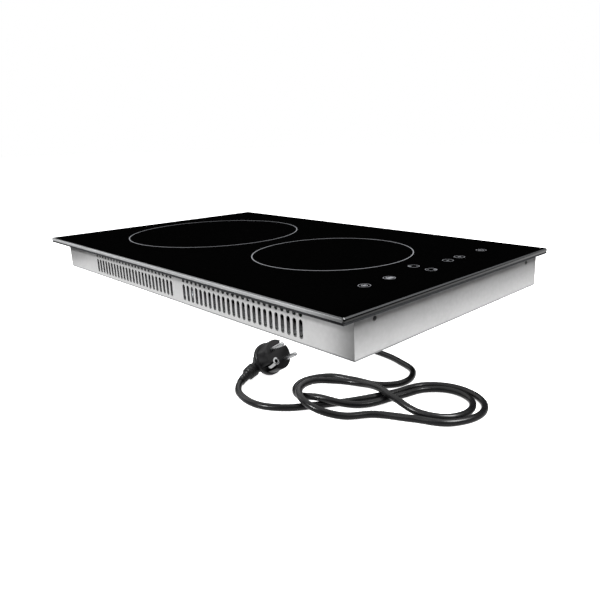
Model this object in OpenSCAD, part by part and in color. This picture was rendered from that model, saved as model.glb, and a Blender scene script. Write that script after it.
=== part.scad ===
// Two-zone built-in induction cooktop with its mains lead and plug.
// Origin: centre of the glass in plan, on the worktop that carries the rim seal.
// +Z is up, the user stands on the -Y side, and +X is to the user's right.

/* [Glass] */
// Width of the glass, along X
glass_w = 300; // [290:1:340]
// Depth of the glass from front to back, along Y
glass_l = 510; // [506:1:514]
// Thickness of the glass
glass_t = 4; // [3:0.5:6]
// Corner radius of the glass
glass_r = 2; // [1:0.5:6]
// Ground bevel along the top edge
glass_bevel = 0.8; // [0.4:0.1:1.5]

/* [Rim seal and bond] */
// Thickness of the foam seal between glass and worktop
seal_t = 1.5; // [1:0.1:3]
// Width of the foam seal
seal_w = 3.5; // [2:0.1:3.5]
// How far the seal stays inside the edge of the glass
seal_inset = 0.5; // [0.2:0.1:0.5]
// Thickness of the silicone bond between tray and glass
bond_t = 0.6; // [0.4:0.1:1]
// Width of the silicone bond
bond_w = 8; // [5:0.5:10]

/* [Tray] */
// Outer width of the steel tray
tray_w = 270; // [266:1:274]
// Outer length of the steel tray
tray_l = 490; // [486:1:494]
// Depth of the tray below the worktop
tray_depth = 31; // [31:0.5:36]
// Overhang of the glass beyond the tray at the front
front_lip = 5; // [5:0.5:8]
// Thickness of the tray's side sheet
sheet_t = 1; // [0.8:0.1:1.5]
// Thickness of the base plate
base_t = 1.2; // [0.8:0.1:1.6]
// Width of the folded flanges, measured from outside
flange_w = 12; // [10:0.5:13]
// Distance between the bracket holes in the front and back walls
bracket_gap = 227; // [180:1:230]
// Diameter of the bracket holes
bracket_d = 4; // [3:0.5:5]
// Depth of the bracket holes below the worktop
bracket_drop = 4.5; // [4.5:0.5:8]

/* [Vents] */
// Number of slots in each group along the left wall
slot_count = 24; // [8:1:24]
// Distance from one slot to the next
slot_pitch = 7.2; // [6:0.1:7.6]
// Width of a slot
slot_w = 4.2; // [2:0.1:4.2]
// Height of the lower, tall slots
tall_slot = 15.5; // [10:0.5:15.5]
// Height of the upper, short slots
short_slot = 6; // [4.5:0.5:7]
// Height of the tall slots above the underside
slot_base = 4; // [3:0.5:6]
// Space between the tall and the short slots
slot_bridge = 2; // [2:0.5:5]
// Distance from the front wall to the first slot
slot_start = 55; // [40:1:62]
// Distance between the two groups, slot to slot
slot_group_gap = 23.5; // [12:0.5:26]

/* [Coils] */
// Radius of the rear winding
rear_coil_r = 93; // [80:1:98]
// Radius of the front winding
front_coil_r = 73; // [60:1:76]
// Centre of the rear zone, behind the middle of the tray
rear_zone_y = 124; // [119:1:129]
// Centre of the front zone, in front of the middle of the tray
front_zone_y = 88; // [85:1:91]
// Inner radius of the windings
coil_bore_r = 16; // [12:1:20]
// Height of the windings
winding_t = 4.5; // [3:0.5:5]
// Thickness of the insulation pads on the windings
pad_t = 1.5; // [1:0.1:2]
// Thickness of the plastic coil carriers
carrier_t = 2.5; // [2:0.1:3]
// Thickness of the ferrite bars
ferrite_t = 2.6; // [2:0.1:3]
// Width of the ferrite bars
ferrite_w = 14; // [8:1:16]
// Thickness of the aluminium plate under the coils
coil_plate_t = 1.2; // [1:0.1:1.5]
// Free height between that plate and the carriers
spring_h = 4.8; // [4.8:0.1:6]
// Outer radius of the coil springs
spring_r = 5; // [4.2:0.1:6]
// Thickness of the spring wire
spring_wire = 0.8; // [0.5:0.1:1.2]

/* [Electronics] */
// Width of the power board
board_w = 208; // [208:1:212]
// Length of the power board
board_l = 275; // [272:1:278]
// Thickness of the circuit boards
board_t = 1.6; // [1:0.2:1.8]
// Height of the posts under the power board
post_h = 4; // [3:0.5:4.5]
// Height of the heatsink
sink_h = 10; // [8:0.5:10]
// Number of fins on the heatsink
fin_count = 8; // [4:1:9]
// Thickness of a fin
fin_t = 1.6; // [1:0.1:2]
// Height of the tallest capacitors and relays
tall_part_h = 9.5; // [8:0.1:9.5]

/* [Touch controls] */
// Depth of the control carrier, front to back
control_l = 56; // [50:1:57]
// Width of the control carrier
control_w = 236; // [232:1:240]
// Radius of the touch springs
key_r = 4; // [3:0.5:4.5]
// Free height above the control board
key_h = 8.5; // [8:0.1:9]

/* [Fan] */
// Radius of the impeller
fan_r = 30; // [27:0.5:31]
// Space between the impeller and its housing
fan_gap = 3; // [2:0.5:4]
// Wall of the fan housing
fan_wall = 1.6; // [1.2:0.1:2]
// Height of the fan, base to cover
fan_h = 14.6; // [14:0.1:15]
// Number of impeller blades
blade_count = 28; // [16:1:34]
// Radius of the fan shaft
shaft_r = 1; // [0.8:0.1:1.3]
// Running clearance between shaft and bearings
shaft_gap = 0.03; // [0.02:0.01:0.06]

/* [Fasteners] */
// Diameter of the screws
screw_d = 3; // [2.5:0.5:3]
// Clearance around screws in through holes
screw_gap = 0.2; // [0.1:0.05:0.4]
// Diameter of the screw heads
head_d = 5.6; // [5:0.1:6]
// Height of the screw heads
head_h = 1.6; // [1.2:0.1:1.6]

/* [Mains lead] */
// Diameter of the mains cable
cable_d = 7; // [6.5:0.1:7]
// Length of the strain relief under the tray
relief_l = 30; // [20:1:30]
// Radius of the plug's flange
plug_flange_r = 18.4; // [18:0.1:18.4]
// Radius of the plug's nose
plug_nose_r = 17; // [16.6:0.1:17.4]
// Radius of the contact pins
pin_r = 2.4; // [2:0.1:2.4]
// Length of the contact pins
pin_l = 19; // [18:0.5:20]
// Distance between the contact pins
pin_gap = 19; // [18:0.5:20]
// Radius of the earth socket in the plug's face
earth_r = 2.5; // [2.4:0.05:2.8]
// Depth of the earth socket
earth_depth = 14; // [10:0.5:15]

/* [Hidden] */

$fn = 48;
// Small overlap that lets cuts run clear of the faces they open
cut = 0.5;

// Levels, from the worktop down
glass_z = seal_t;
flange_z = seal_t - bond_t;
tray_z = -tray_depth;
floor_z = tray_z + base_t;
tray_back = tray_l + front_lip - glass_l / 2;
tray_y = tray_back - tray_l / 2;
tray_front = tray_back - tray_l;
pad_z = glass_z - pad_t;
winding_z = pad_z - winding_t;
carrier_z = winding_z - carrier_t;
plate_top = carrier_z - spring_h;
plate_z = plate_top - coil_plate_t;
board_z = floor_z + post_h;
board_top = board_z + board_t;
bolt_r = screw_d / 2 - 0.05;
thread_r = screw_d / 2;
hole_r = screw_d / 2 + screw_gap;
inner_screw_l = 7.8;
base_screw_l = 6;

// Places are given from the middle of the tray
function inside(p) = [p.x, p.y + tray_y];
function all_inside(list) = [for (p = list)
    [for (i = [0 : len(p) - 1]) i == 1 ? p[i] + tray_y : p[i]]];
function shifted(list) = [for (y = list) y + tray_y];

// Pillars and coil plate
pillar_r = 4;
pillar_x = tray_w / 2 - flange_w - 11;
pillar_ys = shifted([-223, 0, 223]);
sheet_gap = 2;
plate_w = tray_w - 2 * flange_w - 2 * sheet_gap;
plate_l = tray_l - 2 * flange_w - 2 * sheet_gap;

// Coils: pegs guide the springs, leads drop to the power board
rear_at = inside([0, rear_zone_y]);
front_at = inside([0, -front_zone_y]);
rear_peg_r = 60;
front_peg_r = 45;
peg_r = 2.6;
peg_l = 5.2;
peg_hole_r = 3;
sensor_r = 5;
pad_hole_r = 7;
lead_r = 1.6;
lead_hole_r = 4;
lead_pad_r = 4;
lead_pad_h = 6;
rear_lead_at = all_inside([[40, 84], [52, 72]]);
front_lead_at = all_inside([[30, -58], [42, -46]]);

// Places on the power board
board_y = tray_y - 27.5;
post_at = all_inside([[-98, -159], [98, -159], [-98, 105], [99, 105], [8, -15]]);
post_r = 3;
post_pin_r = 1.4;
sink_l = 245;
sink_gap = 17;
sink_base = 3.2;
fin_area = 36;
shelf_w = 22;
shelf_top = board_top + sink_base;
device_t = 5;
device_l = 20;
device_hole = -4;
transistor_w = 16;
transistor_ys = shifted([80, 50, -40, -70]);
rectifier_w = 28;
rectifier_ys = shifted([5, -115]);
film_at = all_inside([[-18, 65, 30, 18], [-18, 35, 30, 18], [-18, 5, 26, 22],
    [-18, -35, 30, 18], [-18, -65, 30, 18], [-18, -105, 26, 22], [78, 23, 26, 12]]);
electrolytic_at = all_inside([[40, 15], [54, 15], [40, 1]]);
choke_at = inside([78, 75]);
relay_at = inside([20, 65]);
relay_size = [20, 16];
fuse_at = inside([78, 43]);
transformer_at = inside([70, -15]);
plug_in_at = all_inside([[-20, 103, 10, 6, 6], [90, -55, 12, 6, 6],
    [90, -70, 12, 6, 6], [89, 101, 14, 8, 8]]);

// Mains entry
cable_at = inside([95, 165]);
block_at = inside([92, 131]);
block_size = [36, 16, 12];
clamp_y = cable_at.y - 16;
clamp_arm = 9.5;
clamp_screw_at = [[cable_at.x - clamp_arm, clamp_y], [cable_at.x + clamp_arm, clamp_y]];
clamp_size = [26, 8];
earth_at = inside([112, 113]);
bushing_r = 6;
bushing_flange_r = 9;
bushing_flange_t = 2;
relief_r = 7;
tail_bend = 6;
tail_z = floor_z + bushing_flange_t + tail_bend;
core_r = 1.2;

// Control area
control_y = tray_y - 203;
control_floor = 1.5;
control_rim = 2;
control_gap = 0.3;
control_bottom = plate_top + control_floor;
control_pcb_z = glass_z - key_h - board_t;
keys = all_inside([[-79, -203], [-47, -203], [-1, -193], [-1, -213], [39, -203], [59, -203],
    [100, -203]]);
display_at = inside([-24, -203]);
ribbon_x = 20;
ribbon_w = 20;
ribbon_t = 0.6;
ribbon_y = control_y + control_l / 2 + 4.5;
control_plug_y = control_y + 19;
board_plug_y = board_y - board_l / 2 + 10;

// Fan
fan_at = inside([-74, 170]);
fan_in = fan_r + fan_gap;
fan_out = fan_in + fan_wall;
fan_floor = 1.5;
fan_lid = 1.5;
fan_top = floor_z + fan_h;
lid_z = fan_top - fan_lid;
inlet_r = 24;
outlet_y = fan_at.y - 53;
fan_boss_r = 3.5;
fan_boss_at = [for (a = [45, 135, -40]) (fan_out + 2) * [cos(a), sin(a)]];
bearing_r = 3;
bearing_t = 2;
bearing_tube_r = 4.2;
bearing_tube_l = 6.3;
hub_r = 14;
hub_wall = 2.3;
hub_z = floor_z + 3;
hub_floor = 1.2;
rotor_top = lid_z - 2.3;
stator_gap = 0.4;
stator_z = hub_z + 2.8;

sink_at = [-102, outlet_y - sink_gap - sink_l];
device_x = sink_at.x + fin_area + shelf_w / 2;

// The cable's route: out of the strain relief, down to the surface under the worktop,
// forward, and round in two looping turns to the plug
rest_z = -131.5;
route = [[cable_at.x, cable_at.y, tray_z - relief_l], [95, 160, -80], [95, 158, -99],
    [95, 146, -118], [95, 126, rest_z + 2.2], [94, 104, rest_z + 0.4],
    [92, 60, rest_z + 0.1], [82, -60, rest_z], [75, -119, rest_z], [59, -152, rest_z],
    [31, -159, rest_z], [12, -144, rest_z], [4, -115, rest_z], [-8, -87, rest_z],
    [-37, -77, rest_z + 0.4], [-61, -98, rest_z + 1.8], [-60, -128, rest_z + 7.5],
    [-41, -157, rest_z + 2], [8, -177, rest_z + 0.2], [36, -188, rest_z],
    [50, -215, rest_z], [36, -242, rest_z], [6, -243, rest_z + 0.3],
    [-13, -217, rest_z + 2], [-13, -184, rest_z + 7.5], [-5, -155, rest_z + 7],
    [-3, -129, rest_z + 2.5], [-16, -105, rest_z + 3], [-45, -99, rest_z + 9.8],
    [-72, -114, rest_z + 11.6], [-78, -139, rest_z + 8], [-65, -163, rest_z + 2],
    [-40, -183, rest_z + 0.3], [-24, -213, rest_z], [-5, -248, rest_z],
    [36, -256, rest_z], [58, -219, rest_z], [42, -181, rest_z], [6, -167, rest_z],
    [-62, -128, rest_z], [-87, -107, rest_z], [-99, -84, rest_z],
    [-99, -60, rest_z + 0.1], [-92, -41, rest_z + 0.3], [-80, -29, rest_z + 1.3]];
// Usual stretch of cable between two rings of the tube, and its number of sides
ring_step = 21;
tube_sides = 10;

// The plug leans on its flange and on the rim of its back; the lead leaves it sideways
plug_at = [-37, -41.5, -108.1];
plug_heading = -82;
plug_tilt = 30;
plug_roll = 126;
nose_l = 16;
flange_l = 6;
plug_l = 35;
back_r1 = 15;
back_r2 = 10.5;
neck_x = 27;
neck_l = 19;
neck_r = 7.5;
neck_turn = 25;
pin_depth = 6;
earth_offset = 10;
clip_w = 6;
notch_w = 9;
notch_depth = 4;
relief_r1 = 4.3;
relief_r2 = 6.6;

// Direction of the neck, first in the plug's own frame, then rolled, tilted and turned
neck_y = sin(neck_turn - plug_roll);
neck_z = cos(neck_turn - plug_roll);
plug_ahead = [cos(plug_heading), sin(plug_heading), 0];
plug_axis = cos(plug_tilt) * plug_ahead + [0, 0, sin(plug_tilt)];
neck_axis = neck_y * [-plug_ahead.y, plug_ahead.x, 0]
    + neck_z * [-sin(plug_tilt) * plug_ahead.x, -sin(plug_tilt) * plug_ahead.y, cos(plug_tilt)];
plug_tail = plug_at - neck_x * plug_axis + neck_l * neck_axis;

// ---- Curves ----

function unit(v) = v / norm(v);

// Tangent of the circle through a point and its two neighbours
function bend(p, i) = unit((p[i] - p[i - 1]) / pow(norm(p[i] - p[i - 1]), 2)
    + (p[i + 1] - p[i]) / pow(norm(p[i + 1] - p[i]), 2));

// Tangents at every point, with the first and the last one given
function tangents(p, first, last) = [for (i = [0 : len(p) - 1])
    i == 0 ? unit(first) : i == len(p) - 1 ? unit(last) : bend(p, i)];

// A point on the cubic from a to b, where u and v are the end tangents
function cubic(a, b, u, v, t) = let (h = 0.36 * norm(b - a), c = a + h * u, d = b - h * v)
    pow(1 - t, 3) * a + 3 * pow(1 - t, 2) * t * c + 3 * (1 - t) * t * t * d + pow(t, 3) * b;

// Ring centres along a route, about one step apart
function centres(p, t, step) = concat([for (i = [0 : len(p) - 2])
    let (n = max(1, round(norm(p[i + 1] - p[i]) / step)))
    for (k = [0 : n - 1]) cubic(p[i], p[i + 1], t[i], t[i + 1], k / n)], [p[len(p) - 1]]);

// Direction of the curve at each ring
function headings(c, first, last) = [for (i = [0 : len(c) - 1])
    i == 0 ? unit(first) : i == len(c) - 1 ? unit(last) : unit(c[i + 1] - c[i - 1])];

// A side vector carried along the curve without turning about it
function sides(h, i, s) = let (v = unit(s - (s * h[i]) * h[i]))
    i == len(h) - 1 ? [v] : concat([v], sides(h, i + 1, v));

// A closed tube along a route, with a radius at each end
module tube(p, first, last, r1, r2, n, step) {
    c = centres(p, tangents(p, first, last), step);
    h = headings(c, first, last);
    s = sides(h, 0, abs(unit(first).z) > 0.9 ? [1, 0, 0] : [0, 0, 1]);
    m = len(c);
    pts = [for (i = [0 : m - 1]) let (r = r1 + (r2 - r1) * i / (m - 1), w = cross(h[i], s[i]))
        for (k = [0 : n - 1]) c[i] + r * (cos(360 * k / n) * s[i] + sin(360 * k / n) * w)];
    walls = [for (i = [0 : m - 2]) for (k = [0 : n - 1]) let (j = (k + 1) % n)
        [i * n + k, (i + 1) * n + k, (i + 1) * n + j, i * n + j]];
    polyhedron(pts, concat([[for (k = [0 : n - 1]) k]], walls,
        [[for (k = [n - 1 : -1 : 0]) (m - 1) * n + k]]), convexity = 10);
}

// ---- Shapes shared by the pieces ----

module rounded(w, l, r) {
    square([w - 2 * r, l], center = true);
    square([w, l - 2 * r], center = true);
    for (x = [-1, 1], y = [-1, 1]) translate([x * (w / 2 - r), y * (l / 2 - r)]) circle(r);
}

module frame_ring(w, l, band, h) {
    linear_extrude(h) difference() {
        square([w, l], center = true);
        square([w - 2 * band, l - 2 * band], center = true);
    }
}

module disc(r, h) cylinder(r = r, h = h);

// A hole that runs past both faces of a sheet of thickness h
module hole(r, h) translate([0, 0, -cut]) cylinder(r = r, h = h + 2 * cut);

// A pan head on z = 0 with its shank below and a cross recess on top
module screw(l) {
    difference() {
        disc(head_d / 2, head_h);
        for (a = [0, 90]) rotate(a) translate([-head_d * 0.3, -0.35, head_h * 0.45])
            cube([head_d * 0.6, 0.7, head_h]);
    }
    translate([0, 0, -l]) cylinder(r = bolt_r, h = l);
}

module around(n, r, start = 0) for (i = [0 : n - 1]) rotate(start + i * 360 / n)
    translate([r, 0, 0]) children();

// ---- Glass, seal and tray ----

module glass_top() {
    color([0.02, 0.02, 0.022]) translate([0, 0, glass_z]) hull() {
        linear_extrude(glass_t - glass_bevel) rounded(glass_w, glass_l, glass_r);
        linear_extrude(glass_t)
            rounded(glass_w - 2 * glass_bevel, glass_l - 2 * glass_bevel, glass_r);
    }
}

module rim_seal() {
    color([0.1, 0.1, 0.1])
        frame_ring(glass_w - 2 * seal_inset, glass_l - 2 * seal_inset, seal_w, seal_t);
}

module glass_bond() {
    color([0.15, 0.15, 0.15]) translate([0, tray_y, flange_z])
        frame_ring(tray_w - 2 * sheet_t, tray_l - 2 * sheet_t, bond_w, bond_t);
}

// A round-ended slot of height h, cut along X
module slot(h) {
    translate([0, -slot_w / 2, slot_w / 2]) cube([sheet_t + 2 * cut, slot_w, h - slot_w]);
    for (z = [slot_w / 2, h - slot_w / 2]) translate([0, 0, z]) rotate([0, 90, 0])
        cylinder(r = slot_w / 2, h = sheet_t + 2 * cut, $fn = 24);
}

group_l = (slot_count - 1) * slot_pitch;

module vents() {
    for (g = [0, 1], i = [0 : slot_count - 1])
        translate([-tray_w / 2 - cut,
            tray_front + slot_start + g * (group_l + slot_group_gap) + i * slot_pitch,
            tray_z + slot_base]) {
            slot(tall_slot);
            translate([0, 0, tall_slot + slot_bridge]) slot(short_slot);
        }
}

// Places of the screws that hold the base plate, as seen from below
flange_mid = flange_w / 2 + sheet_t / 2;
side_screws = 4;
side_screw_inset = 50;
side_screw_pitch = (tray_l - 2 * side_screw_inset) / (side_screws - 1);
end_screw_x = 60;
base_screw_at = concat(
    [for (x = [-1, 1], i = [0 : side_screws - 1])
        [x * (tray_w / 2 - flange_mid), tray_front + side_screw_inset + i * side_screw_pitch]],
    [for (y = [tray_front + flange_mid, tray_back - flange_mid], x = [-1, 1])
        [x * end_screw_x, y]]);

module bracket_holes(r) for (y = [tray_front, tray_back], x = [-1, 1])
    translate([x * bracket_gap / 2, y, -bracket_drop]) rotate([90, 0, 0])
        translate([0, 0, -2 * sheet_t - cut]) cylinder(r = r, h = 4 * sheet_t + 2 * cut);

module side_frame() {
    color([0.72, 0.73, 0.74]) difference() {
        translate([0, tray_y, floor_z]) {
            frame_ring(tray_w, tray_l, sheet_t, flange_z - floor_z);
            frame_ring(tray_w, tray_l, flange_w, sheet_t);
            translate([0, 0, flange_z - floor_z - sheet_t])
                frame_ring(tray_w, tray_l, flange_w, sheet_t);
        }
        vents();
        for (p = base_screw_at) translate([p.x, p.y, floor_z]) hole(thread_r, sheet_t);
        bracket_holes(bracket_d / 2);
    }
}

nut_r = bracket_d / 2 + 1.2;
nut_l = 3;

module bracket_nuts() {
    color([0.6, 0.6, 0.55]) for (s = [-1, 1], x = [-1, 1])
        translate([x * bracket_gap / 2, s < 0 ? tray_front + sheet_t : tray_back - sheet_t,
            -bracket_drop]) rotate([s * 90, 0, 0]) difference() {
            disc(nut_r, nut_l);
            hole(bracket_d / 2, nut_l);
        }
}

// Slots over the fan's inlet
grille_pitch = 6.5;
grille_edge = 2;

module grille() for (i = [-3 : 3])
    let (x = i * grille_pitch, h = sqrt(pow(inlet_r - grille_edge, 2) - x * x) - slot_w / 2)
    translate([x, 0, -cut]) {
        translate([-slot_w / 2, -h, 0]) cube([slot_w, 2 * h, base_t + 2 * cut]);
        for (y = [-h, h]) translate([0, y, 0])
            cylinder(r = slot_w / 2, h = base_t + 2 * cut, $fn = 24);
    }

module base_plate() {
    color([0.7, 0.71, 0.72]) translate([0, 0, tray_z]) difference() {
        translate([0, tray_y, 0]) linear_extrude(base_t)
            square([tray_w, tray_l], center = true);
        for (p = concat(base_screw_at, clamp_screw_at, [earth_at]))
            translate([p.x, p.y, 0]) hole(hole_r, base_t);
        translate([fan_at.x, fan_at.y, 0]) {
            for (p = fan_boss_at) translate([p.x, p.y, 0]) hole(hole_r, base_t);
            grille();
        }
        translate([cable_at.x, cable_at.y, 0]) hole(bushing_r, base_t);
    }
}

module base_screws() {
    color("silver") for (p = concat(base_screw_at, clamp_screw_at, [earth_at],
        [for (b = fan_boss_at) fan_at + b]))
        translate([p.x, p.y, tray_z]) mirror([0, 0, 1]) screw(base_screw_l);
}

// ---- Coil plate and pillars ----

module coil_plate() {
    color([0.78, 0.79, 0.8]) translate([0, 0, plate_z]) difference() {
        translate([0, tray_y, 0]) linear_extrude(coil_plate_t)
            square([plate_w, plate_l], center = true);
        for (x = [-1, 1], y = pillar_ys) translate([x * pillar_x, y, 0])
            hole(hole_r, coil_plate_t);
        translate(rear_at) around(4, rear_peg_r) hole(peg_hole_r, coil_plate_t);
        translate(front_at) around(4, front_peg_r) hole(peg_hole_r, coil_plate_t);
        for (p = concat(rear_lead_at, front_lead_at)) translate([p.x, p.y, 0])
            hole(lead_hole_r, coil_plate_t);
        translate([ribbon_x - ribbon_w / 2 - 2, ribbon_y - 1.5, -cut])
            cube([ribbon_w + 4, 3, coil_plate_t + 2 * cut]);
    }
}

pillar_bore = 9;

module pillars() {
    color("silver") for (x = [-1, 1], y = pillar_ys) translate([x * pillar_x, y, floor_z])
        difference() {
            cylinder(r = pillar_r, h = plate_z - floor_z, $fn = 6);
            translate([0, 0, plate_z - floor_z - pillar_bore])
                cylinder(r = thread_r, h = pillar_bore + cut);
        }
}

module inner_screws() {
    color("silver") {
        for (x = [-1, 1], i = [0 : 2])
            translate([x * pillar_x, pillar_ys[i], i == 0 ? control_bottom : plate_top])
                screw(inner_screw_l);
        for (y = concat(transistor_ys, rectifier_ys))
            translate([device_x + device_hole, y, shelf_top + device_t]) screw(inner_screw_l);
        for (p = fan_boss_at) translate([fan_at.x + p.x, fan_at.y + p.y, fan_top])
            screw(inner_screw_l);
        for (p = clamp_screw_at) translate([p.x, p.y, clamp_top]) screw(inner_screw_l);
    }
}

// ---- Coils ----

carrier_edge = 4;

module coil_carrier(at, r, pegs, leads) {
    color([0.85, 0.83, 0.78]) difference() {
        translate([at.x, at.y, carrier_z]) {
            disc(r + carrier_edge, carrier_t);
            around(4, pegs) translate([0, 0, -peg_l]) disc(peg_r, peg_l);
        }
        for (p = leads) translate([p.x, p.y, carrier_z]) hole(lead_r + 0.4, carrier_t);
    }
}

module coil_winding(at, r) {
    color([0.72, 0.42, 0.2]) translate([at.x, at.y, winding_z]) difference() {
        disc(r, winding_t);
        hole(coil_bore_r, winding_t);
    }
}

ferrite_start = 20;
ferrite_count = 8;
ferrite_turn = 180 / ferrite_count;

module ferrites(at, r) {
    color([0.22, 0.22, 0.23]) translate([at.x, at.y, carrier_z - ferrite_t])
        around(ferrite_count, ferrite_start, ferrite_turn) translate([0, -ferrite_w / 2, 0])
            cube([r - 3 - ferrite_start, ferrite_w, ferrite_t]);
}

module pad(at, r) {
    color([0.88, 0.87, 0.83]) translate([at.x, at.y, pad_z]) difference() {
        disc(r + 2, pad_t);
        hole(pad_hole_r, pad_t);
    }
}

module sensor(at) {
    color([0.9, 0.9, 0.88]) translate([at.x, at.y, winding_z])
        disc(sensor_r, glass_z - winding_z);
}

module springs(at, pegs) {
    color("silver") translate([at.x, at.y, plate_top]) around(4, pegs) difference() {
        disc(spring_r, spring_h);
        hole(spring_r - spring_wire, spring_h);
    }
}

module leads(places) {
    color([0.75, 0.3, 0.2]) for (p = places) translate([p.x, p.y, board_top + lead_pad_h])
        disc(lead_r, winding_z - board_top - lead_pad_h);
}

module rear_coil_carrier() coil_carrier(rear_at, rear_coil_r, rear_peg_r, rear_lead_at);
module rear_coil_winding() coil_winding(rear_at, rear_coil_r);
module rear_ferrites() ferrites(rear_at, rear_coil_r);
module rear_pad() pad(rear_at, rear_coil_r);
module rear_sensor() sensor(rear_at);
module rear_springs() springs(rear_at, rear_peg_r);
module rear_leads() leads(rear_lead_at);
module front_coil_carrier() coil_carrier(front_at, front_coil_r, front_peg_r, front_lead_at);
module front_coil_winding() coil_winding(front_at, front_coil_r);
module front_ferrites() ferrites(front_at, front_coil_r);
module front_pad() pad(front_at, front_coil_r);
module front_sensor() sensor(front_at);
module front_springs() springs(front_at, front_peg_r);
module front_leads() leads(front_lead_at);

// ---- Power board ----

insulation_t = 0.4;
insulation_y = shifted([-167, 115]);
post_gap = 0.3;

module insulation_sheet() {
    color([0.9, 0.9, 0.86]) translate([0, 0, floor_z]) difference() {
        translate([-pillar_x + 6, insulation_y[0], 0])
            cube([2 * pillar_x - 12, insulation_y[1] - insulation_y[0], insulation_t]);
        for (p = post_at) translate([p.x, p.y, 0]) hole(post_r + post_gap, insulation_t);
    }
}

module power_board() {
    color([0.1, 0.35, 0.2]) translate([0, board_y, board_z]) difference() {
        translate([-board_w / 2, -board_l / 2, 0]) cube([board_w, board_l, board_t]);
        for (p = post_at) translate([p.x, p.y - board_y, 0]) hole(post_pin_r + 0.1, board_t);
    }
}

post_head_r = 2.2;
post_head_h = 1.2;

module board_posts() {
    color([0.92, 0.92, 0.9]) for (p = post_at) translate([p.x, p.y, floor_z]) {
        disc(post_r, post_h);
        disc(post_pin_r, post_h + board_t + post_head_h);
        translate([0, 0, post_h + board_t]) disc(post_head_r, post_head_h);
    }
}

module heatsink() {
    color([0.75, 0.76, 0.78]) translate([sink_at.x, sink_at.y, board_top]) difference() {
        union() {
            cube([fin_area + shelf_w, sink_l, sink_base]);
            for (i = [0 : fin_count - 1])
                translate([i * (fin_area - fin_t) / (fin_count - 1), 0, 0])
                    cube([fin_t, sink_l, sink_h]);
        }
        for (y = concat(transistor_ys, rectifier_ys))
            translate([device_x + device_hole - sink_at.x, y - sink_at.y, 0])
                hole(thread_r, sink_base);
    }
}

leg_w = 1;
leg_t = 0.6;
leg_run = 4;

// A flat power device on the heatsink's shelf, with bent legs down to the board
module device(y, w, legs) {
    translate([device_x, y, shelf_top]) {
        difference() {
            translate([-device_l / 2, -w / 2, 0]) cube([device_l, w, device_t]);
            translate([device_hole, 0, 0]) hole(hole_r, device_t);
        }
        for (i = [0 : legs - 1]) let (s = (w - 4) / (legs - 1))
            translate([device_l / 2, -w / 2 + 2 + i * s - leg_w / 2, device_t / 2]) {
                cube([leg_run, leg_w, leg_t]);
                translate([leg_run - leg_t, 0, board_top - shelf_top - device_t / 2])
                    cube([leg_t, leg_w, shelf_top - board_top + device_t / 2 + leg_t]);
            }
    }
}

module power_transistors() {
    color([0.12, 0.12, 0.12]) for (y = transistor_ys) device(y, transistor_w, 3);
}

module bridge_rectifiers() {
    color([0.15, 0.15, 0.16]) for (y = rectifier_ys) device(y, rectifier_w, 4);
}

// A box that stands on the power board, centred on p
module on_board(p, w, l, h) {
    translate([p.x - w / 2, p.y - l / 2, board_top]) cube([w, l, h]);
}

module film_capacitors() {
    color([0.75, 0.25, 0.15]) for (c = film_at) on_board(c, c[2], c[3], tall_part_h);
}

choke_r = 15;
choke_bore = 7;
choke_wall = 1.5;

module choke_ring(r1, r2, h) difference() {
    disc(r1, h);
    hole(r2, h);
}

module choke_core() {
    color([0.2, 0.3, 0.22])
        translate([choke_at.x, choke_at.y, board_top + choke_wall])
            choke_ring(choke_r - choke_wall, choke_bore + choke_wall,
                tall_part_h - 2 * choke_wall);
}

// Two half windings around the core, with a gap on the X axis
module choke_winding() {
    color([0.72, 0.42, 0.2]) translate([choke_at.x, choke_at.y, board_top]) difference() {
        choke_ring(choke_r, choke_bore, tall_part_h);
        translate([0, 0, choke_wall])
            choke_ring(choke_r - choke_wall, choke_bore + choke_wall,
                tall_part_h - 2 * choke_wall);
        translate([-choke_r - cut, -3, -cut])
            cube([2 * choke_r + 2 * cut, 6, tall_part_h + 2 * cut]);
    }
}

module relay() {
    color([0.15, 0.25, 0.6]) on_board(relay_at, relay_size.x, relay_size.y, tall_part_h);
}

fuse_r = 2.6;
fuse_l = 20;
fuse_z = 4.5;

module fuse() {
    color([0.85, 0.85, 0.8]) translate([fuse_at.x, fuse_at.y, board_top + fuse_z])
        rotate([0, 90, 0]) {
            cylinder(r = fuse_r - 0.3, h = fuse_l, center = true);
            for (s = [-1, 1]) translate([0, 0, s * (fuse_l / 2 - 2.5)])
                cylinder(r = fuse_r, h = 5, center = true);
        }
    color([0.7, 0.7, 0.65]) for (s = [-1, 1])
        on_board([fuse_at.x + s * (fuse_l / 2 - 2.5), fuse_at.y], 3, 7, fuse_z);
}

module board_transformer() {
    color([0.75, 0.65, 0.2]) on_board(transformer_at, 18, 12, tall_part_h - 1);
    color([0.22, 0.22, 0.23]) on_board(transformer_at, 14, 18, tall_part_h);
}

electrolytic_r = 5;

module electrolytic_capacitors() {
    color([0.15, 0.15, 0.3]) for (p = electrolytic_at) translate([p.x, p.y, board_top])
        disc(electrolytic_r, tall_part_h);
}

board_plug_h = 6;

module board_connectors() {
    color([0.92, 0.9, 0.84]) {
        for (c = plug_in_at) on_board(c, c[2], c[3], c[4]);
        on_board([ribbon_x, board_plug_y], ribbon_w + 2, 6, board_plug_h);
    }
}

module coil_terminals() {
    color([0.8, 0.7, 0.4]) for (p = concat(rear_lead_at, front_lead_at))
        translate([p.x, p.y, board_top]) disc(lead_pad_r, lead_pad_h);
}

// ---- Mains entry ----

block_front = block_at.y - block_size.y / 2;
block_back = block_at.y + block_size.y / 2;
way_d = 6;
way_depth = 3;

module terminal_block() {
    color([0.88, 0.87, 0.82]) difference() {
        translate([block_at.x - block_size.x / 2, block_front, floor_z]) cube(block_size);
        for (i = [-1 : 1]) translate([block_at.x + i * 11, block_at.y,
            floor_z + block_size.z - way_depth]) cylinder(d = way_d, h = way_depth + cut);
    }
}

wire_z = board_top + 4;
main_plug = plug_in_at[3];

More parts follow.
